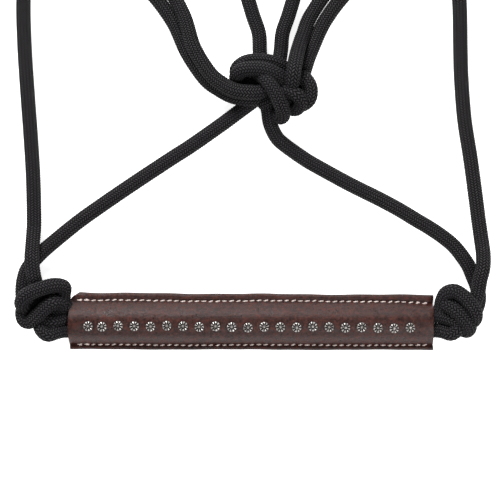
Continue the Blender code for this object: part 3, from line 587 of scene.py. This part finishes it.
def whipped_tip(name, dense, node):
    """Turns of twine round the end of a strand, with the melted rope end just past them."""
    direction = dense[-1] - dense[-8]
    direction /= np.linalg.norm(direction)
    start = dense[-1] - direction * TIP_LENGTH
    turns, round_steps = 12, 24
    rows = turns * 4
    bpy.ops.object.select_all(action="DESELECT")
    bpy.ops.mesh.primitive_grid_add(x_subdivisions=round_steps, y_subdivisions=rows, size=1.0)
    tip = bpy.context.object
    tip.name = name
    side = np.cross(direction, (0, 0, 1.0))
    up = np.cross(side, direction)
    for vert in tip.data.vertices:
        turn = -2 * math.pi * (vert.co.x + 0.5)
        along = vert.co.y + 0.5
        wave = abs(math.sin(math.pi * (along * turns + turn / (2 * math.pi))))
        radius = ROPE_R - 0.0004 + 0.0005 * wave**0.6
        if along > 0.93 or along < 0.03:
            radius = ROPE_R * (0.86 if along > 0.93 else 0.92)
        if along > 0.985:
            radius = ROPE_R * 0.6
        where = (start + direction * TIP_LENGTH * along
                 + radius * (side * math.cos(turn) + up * math.sin(turn)))
        vert.co = where
    close_rolled_grid(0.00002, 50)
    tip.data.materials.append(whipping_twine)
    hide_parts(node)
    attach(tip, "crown")
    return tip


for strand, dense in zip(("inner", "outer"), strand_pair(CROWN)):
    tip = whipped_tip(f"tail_whipping_{strand}", dense, f"tail_tip_{strand}")
    free_rope(f"crown_strand_{strand}_braid", dense, f"crown_strand_{strand}", "crown",
              "headpiece")

# ------------------------------------------------------------------ side knots
# Each end of the noseband is a tight knot that locks the cheek rope, the chin rope and the two
# nose strands. The outermost pass of each knot arches over the rest and dives into the sleeve.
NOSE_Z = 0.0073
UPPER_STRAND_Y = 0.0042
LOWER_STRAND_Y = -0.0060
LEFT_KNOT = [
    [(-0.1435, 0.0080, 0.0070), (-0.1470, 0.0092, 0.0105), (-0.1483, 0.0122, 0.0155),
     (-0.1462, 0.0158, 0.0192), (-0.1415, 0.0190, 0.0204), (-0.1350, 0.0216, 0.0200),
     (-0.1270, 0.0236, 0.0172), (-0.1214, 0.0222, 0.0128), (-0.1221, 0.0168, 0.0094),
     (-0.1216, 0.0112, 0.0080), (-0.1170, 0.0062, NOSE_Z), (-0.1080, UPPER_STRAND_Y, NOSE_Z)],
    [(-0.1361, 0.0060, 0.0066), (-0.1372, -0.0004, 0.0090), (-0.1358, -0.0052, 0.0122),
     (-0.1318, -0.0083, 0.0130), (-0.1272, -0.0072, 0.0108), (-0.1232, -0.0062, 0.0084),
     (-0.1180, LOWER_STRAND_Y, NOSE_Z), (-0.1080, LOWER_STRAND_Y, NOSE_Z)],
    [(-0.1480, 0.0108, 0.0088), (-0.1487, 0.0046, 0.0096), (-0.1470, 0.0006, 0.0108),
     (-0.1428, 0.0002, 0.0126), (-0.1382, 0.0040, 0.0150), (-0.1332, 0.0088, 0.0168),
     (-0.1285, 0.0122, 0.0166), (-0.1243, 0.0120, 0.0134), (-0.1222, 0.0080, 0.0100)],
    [(-0.1465, 0.0080, 0.0062), (-0.1410, 0.0118, 0.0070), (-0.1350, 0.0150, 0.0080),
     (-0.1280, 0.0148, 0.0088), (-0.1236, 0.0100, 0.0080), (-0.1190, 0.0050, NOSE_Z)],
    [(-0.1400, 0.0060, 0.0070), (-0.1345, 0.0016, 0.0096), (-0.1290, 0.0006, 0.0110),
     (-0.1240, 0.0014, 0.0096), (-0.1190, 0.0034, NOSE_Z)],
    [(-0.1380, 0.0090, 0.0064), (-0.1335, 0.0072, 0.0074), (-0.1285, 0.0064, 0.0078),
     (-0.1235, 0.0066, 0.0074), (-0.1195, 0.0064, 0.0070)],
]
RIGHT_KNOT = [
    [(0.1418, -0.0010, 0.0095), (0.1440, 0.0016, 0.0140), (0.1436, 0.0064, 0.0190),
     (0.1404, 0.0116, 0.0206), (0.1358, 0.0166, 0.0202), (0.1304, 0.0198, 0.0182),
     (0.1256, 0.0184, 0.0150), (0.1236, 0.0138, 0.0118), (0.1228, 0.0085, 0.0092),
     (0.1195, 0.0052, NOSE_Z), (0.1080, UPPER_STRAND_Y, NOSE_Z)],
    [(0.1242, 0.0120, 0.0110), (0.1268, 0.0104, 0.0152), (0.1312, 0.0078, 0.0176),
     (0.1356, 0.0036, 0.0176), (0.1392, -0.0006, 0.0156), (0.1411, -0.0044, 0.0110),
     (0.1392, -0.0062, 0.0070), (0.1350, -0.0030, 0.0056)],
    [(0.1372, 0.0055, 0.0086), (0.1350, 0.0000, 0.0110), (0.1330, -0.0050, 0.0126),
     (0.1292, -0.0078, 0.0116), (0.1252, -0.0068, 0.0090), (0.1205, LOWER_STRAND_Y, NOSE_Z),
     (0.1080, LOWER_STRAND_Y, NOSE_Z)],
    [(0.1080, 0.0030, NOSE_Z), (0.1190, 0.0036, NOSE_Z), (0.1248, 0.0030, 0.0098),
     (0.1300, 0.0014, 0.0122), (0.1352, -0.0014, 0.0122), (0.1390, -0.0026, 0.0090)],
    [(0.1440, 0.0150, 0.0070), (0.1380, 0.0130, 0.0100), (0.1325, 0.0118, 0.0110),
     (0.1270, 0.0100, 0.0090), (0.1230, 0.0060, 0.0080)],
    [(0.1455, 0.0120, 0.0070), (0.1440, 0.0060, 0.0075), (0.1405, 0.0010, 0.0078),
     (0.1365, -0.0030, 0.0076)],
]


def knot_of(name, routes, node, body):
    """A knot's strands in one piece."""
    knot = braided_rope(name, [curve_through(route) for route in routes])
    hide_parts(node)
    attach(knot, body)


knot_of("side_knot_left_strands", LEFT_KNOT, "side_knot_left", "noseband_core")
knot_of("side_knot_right_strands", RIGHT_KNOT, "side_knot_right", "noseband_core")

# ------------------------------------------------------------------ fiador knot
# The chin knot is woven from the doubled rope: a long pass lies across it from upper left to
# lower right, two bights fold round its upper left, and two more make its round right side.
FIADOR_KNOT = [
    [(0.0010, 0.1630, 0.0120), (0.0056, 0.1590, 0.0196), (0.0104, 0.1536, 0.0252),
     (0.0150, 0.1468, 0.0262), (0.0184, 0.1400, 0.0238), (0.0204, 0.1350, 0.0186),
     (0.0190, 0.1322, 0.0126), (0.0140, 0.1360, 0.0085)],
    [(-0.0060, 0.1530, 0.0080), (-0.0094, 0.1560, 0.0120), (-0.0092, 0.1594, 0.0172),
     (-0.0052, 0.1618, 0.0216), (0.0018, 0.1622, 0.0238), (0.0088, 0.1614, 0.0244),
     (0.0152, 0.1592, 0.0230), (0.0200, 0.1562, 0.0186), (0.0222, 0.1520, 0.0130)],
    [(-0.0094, 0.1580, 0.0080), (-0.0092, 0.1638, 0.0108), (-0.0036, 0.1676, 0.0140),
     (0.0050, 0.1684, 0.0152), (0.0140, 0.1672, 0.0148), (0.0212, 0.1640, 0.0122),
     (0.0250, 0.1590, 0.0090)],
    [(0.0280, 0.1590, 0.0120), (0.0344, 0.1566, 0.0158), (0.0378, 0.1506, 0.0170),
     (0.0372, 0.1440, 0.0158), (0.0326, 0.1404, 0.0128), (0.0262, 0.1410, 0.0095)],
    [(0.0190, 0.1500, 0.0150), (0.0236, 0.1484, 0.0200), (0.0286, 0.1458, 0.0216),
     (0.0316, 0.1418, 0.0186), (0.0292, 0.1378, 0.0136), (0.0240, 0.1382, 0.0095)],
    [(0.0040, 0.1400, 0.0085), (0.0130, 0.1440, 0.0110), (0.0200, 0.1510, 0.0120),
     (0.0280, 0.1600, 0.0110)],
    [(-0.0060, 0.1560, 0.0075), (0.0020, 0.1536, 0.0120), (0.0100, 0.1500, 0.0130),
     (0.0200, 0.1440, 0.0120), (0.0290, 0.1440, 0.0100)],
    [(0.0000, 0.1600, 0.0085), (0.0100, 0.1600, 0.0100), (0.0200, 0.1580, 0.0090),
     (0.0300, 0.1520, 0.0085)],
]
knot_of("fiador_knot_strands", FIADOR_KNOT, "fiador_knot", "headpiece")

# ------------------------------------------------------------------ cheek knots
# Where the cheek rope, the throatlatch and the crown meet, the rope is wound twice round them and
# pulled tight.


def wrapped_knot(x, y, side):
    """Two and a half turns round the ropes that meet at a cheek knot."""
    turns, steps = 2.4, 30
    route = []
    for step in range(steps + 1):
        part = step / steps
        turn = 2 * math.pi * turns * part
        route.append((x + side * 0.0115 * math.cos(turn), y - 0.0118 + 0.0236 * part,
                      0.0122 + 0.0068 * math.sin(turn)))
    return route


knot_of("cheek_knot_left_strands", [
    wrapped_knot(-0.1385, 0.2670, 1),
    [(-0.1260, 0.2640, 0.0060), (-0.1310, 0.2690, 0.0090), (-0.1340, 0.2770, 0.0110)],
    [(-0.1405, 0.2560, 0.0080), (-0.1395, 0.2700, 0.0120), (-0.1420, 0.2810, 0.0090)],
], "cheek_knot_left", "headpiece")
knot_of("cheek_knot_right_strands", [
    wrapped_knot(0.1265, 0.2670, -1),
    [(0.1120, 0.2640, 0.0060), (0.1180, 0.2690, 0.0090), (0.1215, 0.2770, 0.0100)],
    [(0.1290, 0.2560, 0.0080), (0.1285, 0.2700, 0.0120), (0.1300, 0.2810, 0.0090)],
], "cheek_knot_right", "headpiece")

# ------------------------------------------------------------------ nose strands
# The two strands that cross the nose lie side by side inside the leather sleeve.
for name, y in (("nose_strand_upper", UPPER_STRAND_Y), ("nose_strand_lower", LOWER_STRAND_Y)):
    strand = braided_rope(f"{name}_braid", [[(-0.116, y, NOSE_Z), (0.116, y, NOSE_Z)]])
    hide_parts(name)
    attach(strand, "noseband_core")

# ------------------------------------------------------------------ leather noseband sleeve
# Two strips of dark brown oiled leather, sewn together along both edges round the two nose
# strands. The front one is crowned over them and the lining is flat against the nose.
SLEEVE_LEFT, SLEEVE_RIGHT = -0.1178, 0.1184
SLEEVE_AXIS_Y = -0.0009
UPPER_EDGE_Y, LOWER_EDGE_Y = 0.0178, -0.0186
LEATHER_T = 0.0022
UPPER_ROW_Y, LOWER_ROW_Y = 0.0129, -0.0155
STITCH_PITCH = 0.0045
SEWN_HALF_MM = 112.5


def front_height(y):
    """Height of the front's outer face across the sleeve, before its small hollows."""
    out = min(1.0, abs(y - SLEEVE_AXIS_Y) / 0.0142)
    return 2 * LEATHER_T + GAP + 0.0107 * (1 - out**2.5) ** 0.95


def arc_places(count):
    """Places across the sleeve, evenly spaced over its crowned face, lower edge first."""
    dense = np.linspace(LOWER_EDGE_Y, UPPER_EDGE_Y, 1200)
    heights = np.array([front_height(y) for y in dense])
    total = np.concatenate([[0.0], np.cumsum(np.hypot(np.diff(dense), np.diff(heights)))])
    return np.interp(np.linspace(0.0, total[-1], count), total, dense)


def wander(value, *waves):
    """A slow wavy offset: the sum of (size, wavelength, phase) sines along a value."""
    return sum(size * math.sin(2 * math.pi * value / length + phase)
               for size, length, phase in waves)


def sleeve_sheet(name, columns, rows, place):
    """A grid over the sleeve's outline, each point put where place(x, y) says."""
    bpy.ops.object.select_all(action="DESELECT")
    bpy.ops.mesh.primitive_grid_add(x_subdivisions=columns, y_subdivisions=rows, size=1.0)
    sheet = bpy.context.object
    sheet.name = name
    across = arc_places(rows + 1)
    uv = sheet.data.uv_layers.active
    flat = []
    for vert in sheet.data.vertices:
        x = SLEEVE_LEFT + (SLEEVE_RIGHT - SLEEVE_LEFT) * (vert.co.x + 0.5)
        y = float(across[int(round((vert.co.y + 0.5) * rows))])
        flat.append((x, y))
        vert.co = place(x, y)
    for loop in sheet.data.loops:
        uv.data[loop.index].uv = [1000 * value for value in flat[loop.vertex_index]]
    return sheet


def end_reach(x, y):
    """How far a point moves along the sleeve, so that its cut ends are not quite square."""
    part = (x - SLEEVE_LEFT) / (SLEEVE_RIGHT - SLEEVE_LEFT)
    out = (y - SLEEVE_AXIS_Y) / 0.018
    left = -0.0008 * (1 - out**2) + 0.0006 * out
    left -= 0.0016 * max(0.0, (out - 0.55) / 0.45)
    left += 0.0075 * max(0.0, (out - 0.70) / 0.34) ** 2.4
    right = -0.0008 * (1 - out**2) + 0.0004 * out**2
    return left * (1 - part) ** 6 + right * part**6


def cut_line(x, y):
    """Where a place across the sleeve lands, as both layers were trimmed together by hand."""
    upper = max(0.0, y / UPPER_EDGE_Y)
    lower = max(0.0, y / LOWER_EDGE_Y) ** 3
    moved = upper**3 * wander(x, (0.00022, 0.085, 0.9), (0.00012, 0.031, 0.2))
    moved += upper**3 * 0.0005 * max(0.0, (SLEEVE_LEFT + 0.020 - x) / 0.020) ** 2
    moved -= upper**1.9 * 0.0062 * x
    moved += lower * (wander(x, (0.00014, 0.097, 2.2), (0.00006, 0.027, 1.0)) - 0.0022 * (x + 0.10))
    return y + moved


def front_place(x, y):
    """A point of the front's outer face."""
    row_up = math.exp(-(((y - UPPER_ROW_Y) / 0.0008) ** 2))
    row_down = math.exp(-(((y - LOWER_ROW_Y) / 0.0008) ** 2))
    row_band = math.exp(-(((y - UPPER_ROW_Y) / 0.0030) ** 2))
    ridge = math.exp(-(((y - 0.0154) / 0.0011) ** 2))
    lower_ridge = math.exp(-(((y + 0.0173) / 0.0007) ** 2))
    z = front_height(y) - 0.00045 * (row_up + row_down) + 0.00035 * ridge + 0.0002 * lower_ridge
    edge = max(0.0, (abs(y + 0.0004) - 0.0168) / 0.0014)
    z -= 0.0005 * edge**2
    part_in = min(x - SLEEVE_LEFT, SLEEVE_RIGHT - x) / 0.003
    z -= 0.0004 * max(0.0, 1 - part_in) ** 2
    crown = max(0.0, 1 - ((y - SLEEVE_AXIS_Y) / 0.013) ** 2)
    z += crown * (wander(x, (0.00012, 0.061, 0.4), (0.00008, 0.023, 1.9))
                  - 0.0005 * max(0.0, (x - 0.095) / 0.023) ** 2)
    z += wander(x + 0.6 * y, (0.00004, 0.013, 0.0), (0.00003, 0.0083, 2.0))
    new_y = cut_line(x, y) - 0.0012 * row_band * max(0.0, (x - 0.085) / 0.027) ** 1.5
    return x + end_reach(x, y), new_y, z


def lining_place(x, y):
    """A point of the lining's upper face."""
    return x + 0.8 * end_reach(x, y), 0.992 * cut_line(x, y), LEATHER_T - 0.0001


def leather_finish(name, dark, light, shine):
    """Oiled leather: fine pebbled grain, cloudy tone, worn ridges, and sewn rows pressed in, with painted
    shade in their stitch holes.
    """
    material, tree, shader, places = new_finish(name)
    link = tree.links.new
    where = places.outputs["Object"]
    clouds = grain_node(tree, where, 42.0, 3.4)
    mottle = grain_node(tree, where, 430.0, 3.6)
    pores = grain_node(tree, where, 1400.0, 3.0)
    squeeze = node_at(tree, "ShaderNodeMapping", in_Rotation=(0, 0, 0.5), in_Scale=(1.0, 0.35, 1.0))
    link(where, squeeze.inputs["Vector"])
    creases = grain_node(tree, squeeze.outputs[0], 900.0, 3.2)
    patchwork = math_node(tree, "ADD", math_node(tree, "MULTIPLY", mottle, 0.65),
                          math_node(tree, "MULTIPLY", clouds, 0.35))
    base = blend_colours(tree, patchwork, dark, light)
    redder = map_value(tree, mottle, 0.50, 0.95, 0.0, 0.7)
    warm = blend_colours(tree, redder, base, (light[0] * 1.9, light[1] * 1.5, light[2] * 1.3))
    pitted = map_value(tree, pores, 0.0, 0.50, 0.75, 0.0)
    pored = blend_colours(tree, pitted, warm, tuple(value * 0.25 for value in dark))

    # Painted shade: the stitch holes along both sewn rows are painted near-black, and the same mask presses
    # them in as a bump.
    split = tree.nodes.new("ShaderNodeSeparateXYZ")
    link(places.outputs["UV"], split.inputs[0])
    pitch = 1000 * STITCH_PITCH
    steps = math_node(tree, "ADD", math_node(tree, "DIVIDE", split.outputs["X"], pitch), 0.4)
    near = math_node(tree, "SUBTRACT", math_node(tree, "FRACT", steps), 0.5)
    along = math_node(tree, "MULTIPLY", near, pitch)
    pits = []
    for row in (1000 * UPPER_ROW_Y - 0.1, 1000 * LOWER_ROW_Y - 0.1):
        joined = tree.nodes.new("ShaderNodeCombineXYZ")
        link(along, joined.inputs[0])
        link(math_node(tree, "SUBTRACT", split.outputs["Y"], row), joined.inputs[1])
        reach = node_at(tree, "ShaderNodeVectorMath", operation="LENGTH")
        link(joined.outputs[0], reach.inputs[0])
        pits.append(map_value(tree, reach.outputs["Value"], 0.60, 1.15, 1.0, 0.0))
    inside = math_node(tree, "ABSOLUTE", split.outputs["X"])
    sewn = math_node(tree, "LESS_THAN", inside, SEWN_HALF_MM)
    hole_shade_and_depth = math_node(tree, "MULTIPLY", math_node(tree, "MAXIMUM", *pits), sewn)
    hole_shaded_colour = blend_colours(tree, hole_shade_and_depth, pored, (0.003, 0.0015, 0.0015))

    edge = math_node(tree, "ABSOLUTE", split.outputs["Y"])
    burnished = map_value(tree, edge, 17.2, 18.2, 0.0, 0.45)
    final = blend_colours(tree, burnished, hole_shaded_colour, tuple(value * 0.45 for value in dark))
    link(final, shader.inputs["Base Color"])

    patchy = mix_values(tree, clouds, creases, mottle)
    rough = map_value(tree, patchy, 0.1, 0.9, shine - 0.10, shine + 0.26)
    link(rough, shader.inputs["Roughness"])
    shader.inputs["Specular IOR Level"].default_value = 0.30
    soft = bump_node(tree, mottle, 0.30, 0.0005)
    creased = bump_node(tree, creases, 0.35, 0.00030, soft)
    fine = bump_node(tree, pores, 0.35, 0.00012, creased)
    deep = math_node(tree, "MULTIPLY", hole_shade_and_depth, -1.0)
    link(bump_node(tree, deep, 0.8, 0.0006, fine), shader.inputs["Normal"])
    return material


def make_thick(sheet, thickness):
    """Give the sheet its thickness below, shaded smooth where its faces meet at a shallow angle."""
    bpy.context.view_layer.objects.active = sheet
    solid = sheet.modifiers.new("thickness", "SOLIDIFY")
    solid.thickness = thickness
    solid.offset = -1
    solid.use_even_offset = False
    bpy.ops.object.modifier_apply(modifier="thickness")
    bpy.ops.object.shade_smooth_by_angle(angle=math.radians(48))


leather_brown = leather_finish("leather_brown", (0.009, 0.0024, 0.0018), (0.052, 0.0140, 0.0098), 0.30)
front = sleeve_sheet("noseband_front_leather", 420, 84, front_place)
make_thick(front, LEATHER_T - 0.0001)
front.data.materials.append(leather_brown)
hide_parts("noseband_front")
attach(front, "sleeve")

lining_brown = leather_finish("lining_brown", (0.015, 0.0066, 0.0058), (0.032, 0.0145, 0.0128), 0.58)
lining = sleeve_sheet("noseband_lining_leather", 160, 24, lining_place)
make_thick(lining, LEATHER_T - 0.0002)
lining.data.materials.append(lining_brown)
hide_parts("noseband_lining")
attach(lining, "sleeve")

# ------------------------------------------------------------------ stitching
# Heavy pale waxed thread in a saddle stitch along both edges of the sleeve. Every stitch leans
# the same way, and the rows are locked at their ends by sewing back over two stitches.
STITCH_COUNT = 51
FIRST_STITCH_X = -0.1122


def thread_finish():
    """Off-white linen thread, a little pink from the leather's dye."""
    material, tree, shader, places = new_finish("pale_thread")
    soil = grain_node(tree, places.outputs["Object"], 420.0, 2.4)
    fibre = grain_node(tree, places.outputs["Object"], 2600.0, 2.0)
    colour = blend_colours(tree, soil, (0.42, 0.31, 0.28), (0.92, 0.82, 0.77))
    tree.links.new(colour, shader.inputs["Base Color"])
    tree.links.new(bump_node(tree, fibre, 0.5, 0.0001), shader.inputs["Normal"])
    shader.inputs["Roughness"].default_value = 0.7
    return material


def one_stitch(length, width):
    """A stitch: two plies of thread twisted together, dipping into its hole at both ends."""
    bpy.ops.object.select_all(action="DESELECT")
    plies = []
    for ply in (0, 1):
        bpy.ops.mesh.primitive_uv_sphere_add(segments=14, ring_count=18, radius=0.5,
                                             rotation=(0, math.radians(90), 0))
        bpy.ops.object.transform_apply(location=False, rotation=True, scale=False)
        item = bpy.context.object
        for vert in item.data.vertices:
            along = 2 * vert.co.x
            twist = math.pi * (ply + 1.1 * along)
            full = (1 - abs(along) ** 3) ** 0.5 / max(0.05, (1 - along**2) ** 0.5)
            y, z = vert.co.y * width * 0.66 * full, vert.co.z * width * 0.66 * full
            y += 0.19 * width * math.cos(twist)
            z += 0.15 * width * math.sin(twist)
            vert.co = (vert.co.x * length, y, z - 0.00042 * along**2)
        plies.append(item)
    for item in plies:
        item.select_set(True)
    bpy.context.view_layer.objects.active = plies[0]
    bpy.ops.object.join()
    stitch = bpy.context.object
    bpy.ops.object.shade_smooth()
    return stitch


def stitch_places(row_y):
    """Where each stitch lies: x, y, lean in degrees and stretch."""
    places = []
    for i in range(STITCH_COUNT):
        x = FIRST_STITCH_X + STITCH_PITCH * i
        y = row_y + wander(x, (0.00022, 0.11, 0.3), (0.00010, 0.019, 1.0 + row_y * 900))
        lean = 13 + 7 * math.sin(1.7 * i + row_y * 500) + 4 * math.sin(4.1 * i)
        places.append((x, y, lean if i > 1 else -12, 1.0 + 0.07 * math.sin(2.9 * i)))
    for i in (0, 1, STITCH_COUNT - 2, STITCH_COUNT - 1):
        x, y, _, _ = places[i]
        places.append((x + 0.0006, y + 0.00035, -24 if i % 2 else 27, 0.86))
    return places


pale_thread = thread_finish()
for node, row_y in (("thread_upper", UPPER_ROW_Y), ("thread_lower", LOWER_ROW_Y)):
    pattern = one_stitch(0.0033, 0.00115)
    row = []
    for x, y, lean, stretch in stitch_places(row_y):
        for face in ("front", "lining"):
            place = front_place(x, y)
            z = place[2] + 0.00022 if face == "front" else 0.00022
            item = pattern.copy()
            item.data = pattern.data.copy()
            item.location = (x if face == "front" else x + STITCH_PITCH / 2, place[1], z)
            item.rotation_euler = (0 if face == "front" else math.pi, 0, math.radians(lean))
            item.scale = (stretch, 1, 1 if face == "front" else 0.45)
            bpy.context.scene.collection.objects.link(item)
            row.append(item)
    bpy.data.objects.remove(pattern)
    bpy.ops.object.select_all(action="DESELECT")
    for item in row:
        item.select_set(True)
    bpy.context.view_layer.objects.active = row[0]
    bpy.ops.object.join()
    stitches = bpy.context.object
    bpy.ops.object.transform_apply(location=True, rotation=True, scale=True)
    stitches.name = node + "_stitches"
    stitches.data.materials.clear()
    stitches.data.materials.append(pale_thread)
    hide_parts(node)
    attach(stitches, "sleeve")

# ------------------------------------------------------------------ studs
# Twenty-one small cast rosettes in antique silver along the crown of the sleeve. Each has nine
# raised petals round a bead, with blackened slots between them, and prongs through the leather.
STUD_D = 0.0068
PETALS = 9
STUD_COUNT = 21
FIRST_STUD_X, STUD_STEP, STUD_ROW_Y = -0.1070, 0.01047, -0.0032


def stud_place(i):
    """Centre of a stud on the sleeve."""
    x = FIRST_STUD_X + STUD_STEP * i + (0.0 if i else 0.0016)
    y = STUD_ROW_Y - 0.0006 * (i - 10) / 10
    return x, y - 0.0003 * math.sin(2.1 * i) - 0.0002 * math.sin(0.7 * i + 1)


def silver_finish():
    """Nickel silver, polished on the raised parts and blackened in the recesses, with painted contact shade
    on its outer rim.
    """
    material, tree, shader, places = new_finish("antique_silver")
    link = tree.links.new
    depth = node_at(tree, "ShaderNodeAttribute", attribute_name="relief")
    dust = grain_node(tree, places.outputs["Object"], 1300.0, 2.4)
    tarnish = grain_node(tree, places.outputs["Object"], 150.0, 2.6)
    # Low relief is near-black: patina in the slots and round the bead, and painted contact shade on the outer
    # rim.
    polished_unshaded = map_value(tree, depth.outputs["Fac"], 0.40, 0.70)
    wear_and_glints = blend_colours(tree, tarnish, (0.32, 0.29, 0.27), (0.74, 0.70, 0.67))
    speckled = blend_colours(tree, map_value(tree, dust, 0.0, 0.35, 0.5, 0.0), wear_and_glints,
                             (0.10, 0.08, 0.07))
    colour = blend_colours(tree, polished_unshaded, (0.006, 0.004, 0.004), speckled)
    link(colour, shader.inputs["Base Color"])
    link(map_value(tree, polished_unshaded, 0.0, 1.0, 0.75, 0.34), shader.inputs["Roughness"])
    link(map_value(tree, polished_unshaded, 0.0, 0.6, 0.1, 0.85), shader.inputs["Metallic"])
    link(bump_node(tree, dust, 0.25, 0.00012), shader.inputs["Normal"])
    return material


def rosette():
    """One stud head: a domed disc with slots between its petals and a bead in the middle."""
    bpy.ops.object.select_all(action="DESELECT")
    rings, sides = 26, 20 * PETALS
    bpy.ops.mesh.primitive_grid_add(x_subdivisions=sides, y_subdivisions=rings, size=1.0)
    head = bpy.context.object
    relief = head.data.attributes.new("relief", "FLOAT", "POINT")
    radius = STUD_D / 2
    for index, vert in enumerate(head.data.vertices):
        turn = -2 * math.pi * (vert.co.x + 0.5)
        part = vert.co.y + 0.5
        petal = 0.5 + 0.5 * math.cos(PETALS * turn)
        arc = (PETALS * turn / (2 * math.pi) % 1.0 - 0.5) * 2 * math.pi / PETALS * part
        slot = math.hypot(arc / 0.125, (part - 0.60) / 0.28)
        groove = min(1.0, max(0.0, (1.3 - slot) / 0.40))
        bead = math.sqrt(max(0.0, 1 - (part / 0.22) ** 2))
        ring = max(0.0, 1 - abs(part - 0.27) / 0.06)
        # The rim falls to the leather, and its low relief is painted near-black too: painted contact shade
        # round the stud.
        fall = max(0.0, (part - 0.80) / 0.16) ** 2
        level = max(bead, (1 - groove) * (1 - 0.7 * ring) * (1 - fall))
        dome = 0.0011 * (1 - part**2.2)
        z = 0.0002 + dome + 0.00070 * level + (0.00020 if bead > 0 else 0)
        scallop = 1 - 0.045 * (1 - petal) * part**4
        if part > 0.985:
            z = 0.0
        relief.data[index].value = level
        vert.co = (radius * part * scallop * math.cos(turn),
                   radius * part * scallop * math.sin(turn), z)
    close_rolled_grid(0.000004, 60)
    head.data.materials.append(antique_silver)
    return head


antique_silver = silver_finish()
pattern = rosette()
for i in range(STUD_COUNT):
    x, y = stud_place(i)
    stud = pattern.copy()
    stud.data = pattern.data.copy()
    stud.name = f"rosette_{i + 1:02d}"
    bpy.context.scene.collection.objects.link(stud)
    turn = 7 * math.sin(1.3 * i) + 11 * i
    lean = -3.0 * (y - SLEEVE_AXIS_Y) / 0.003
    base = front_place(x, y)[2]
    stud.location = (x, y, base - 0.0001)
    stud.rotation_euler = (math.radians(-lean * 0.5 - 1.5 * math.sin(i)), math.radians(2 * math.sin(2.3 * i)),
                           math.radians(turn))
    bpy.ops.object.select_all(action="DESELECT")
    stud.select_set(True)
    bpy.context.view_layer.objects.active = stud
    bpy.ops.object.transform_apply(location=True, rotation=True, scale=True)
    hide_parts(f"stud_{i + 1:02d}")
    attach(stud, "sleeve")
bpy.data.objects.remove(pattern)
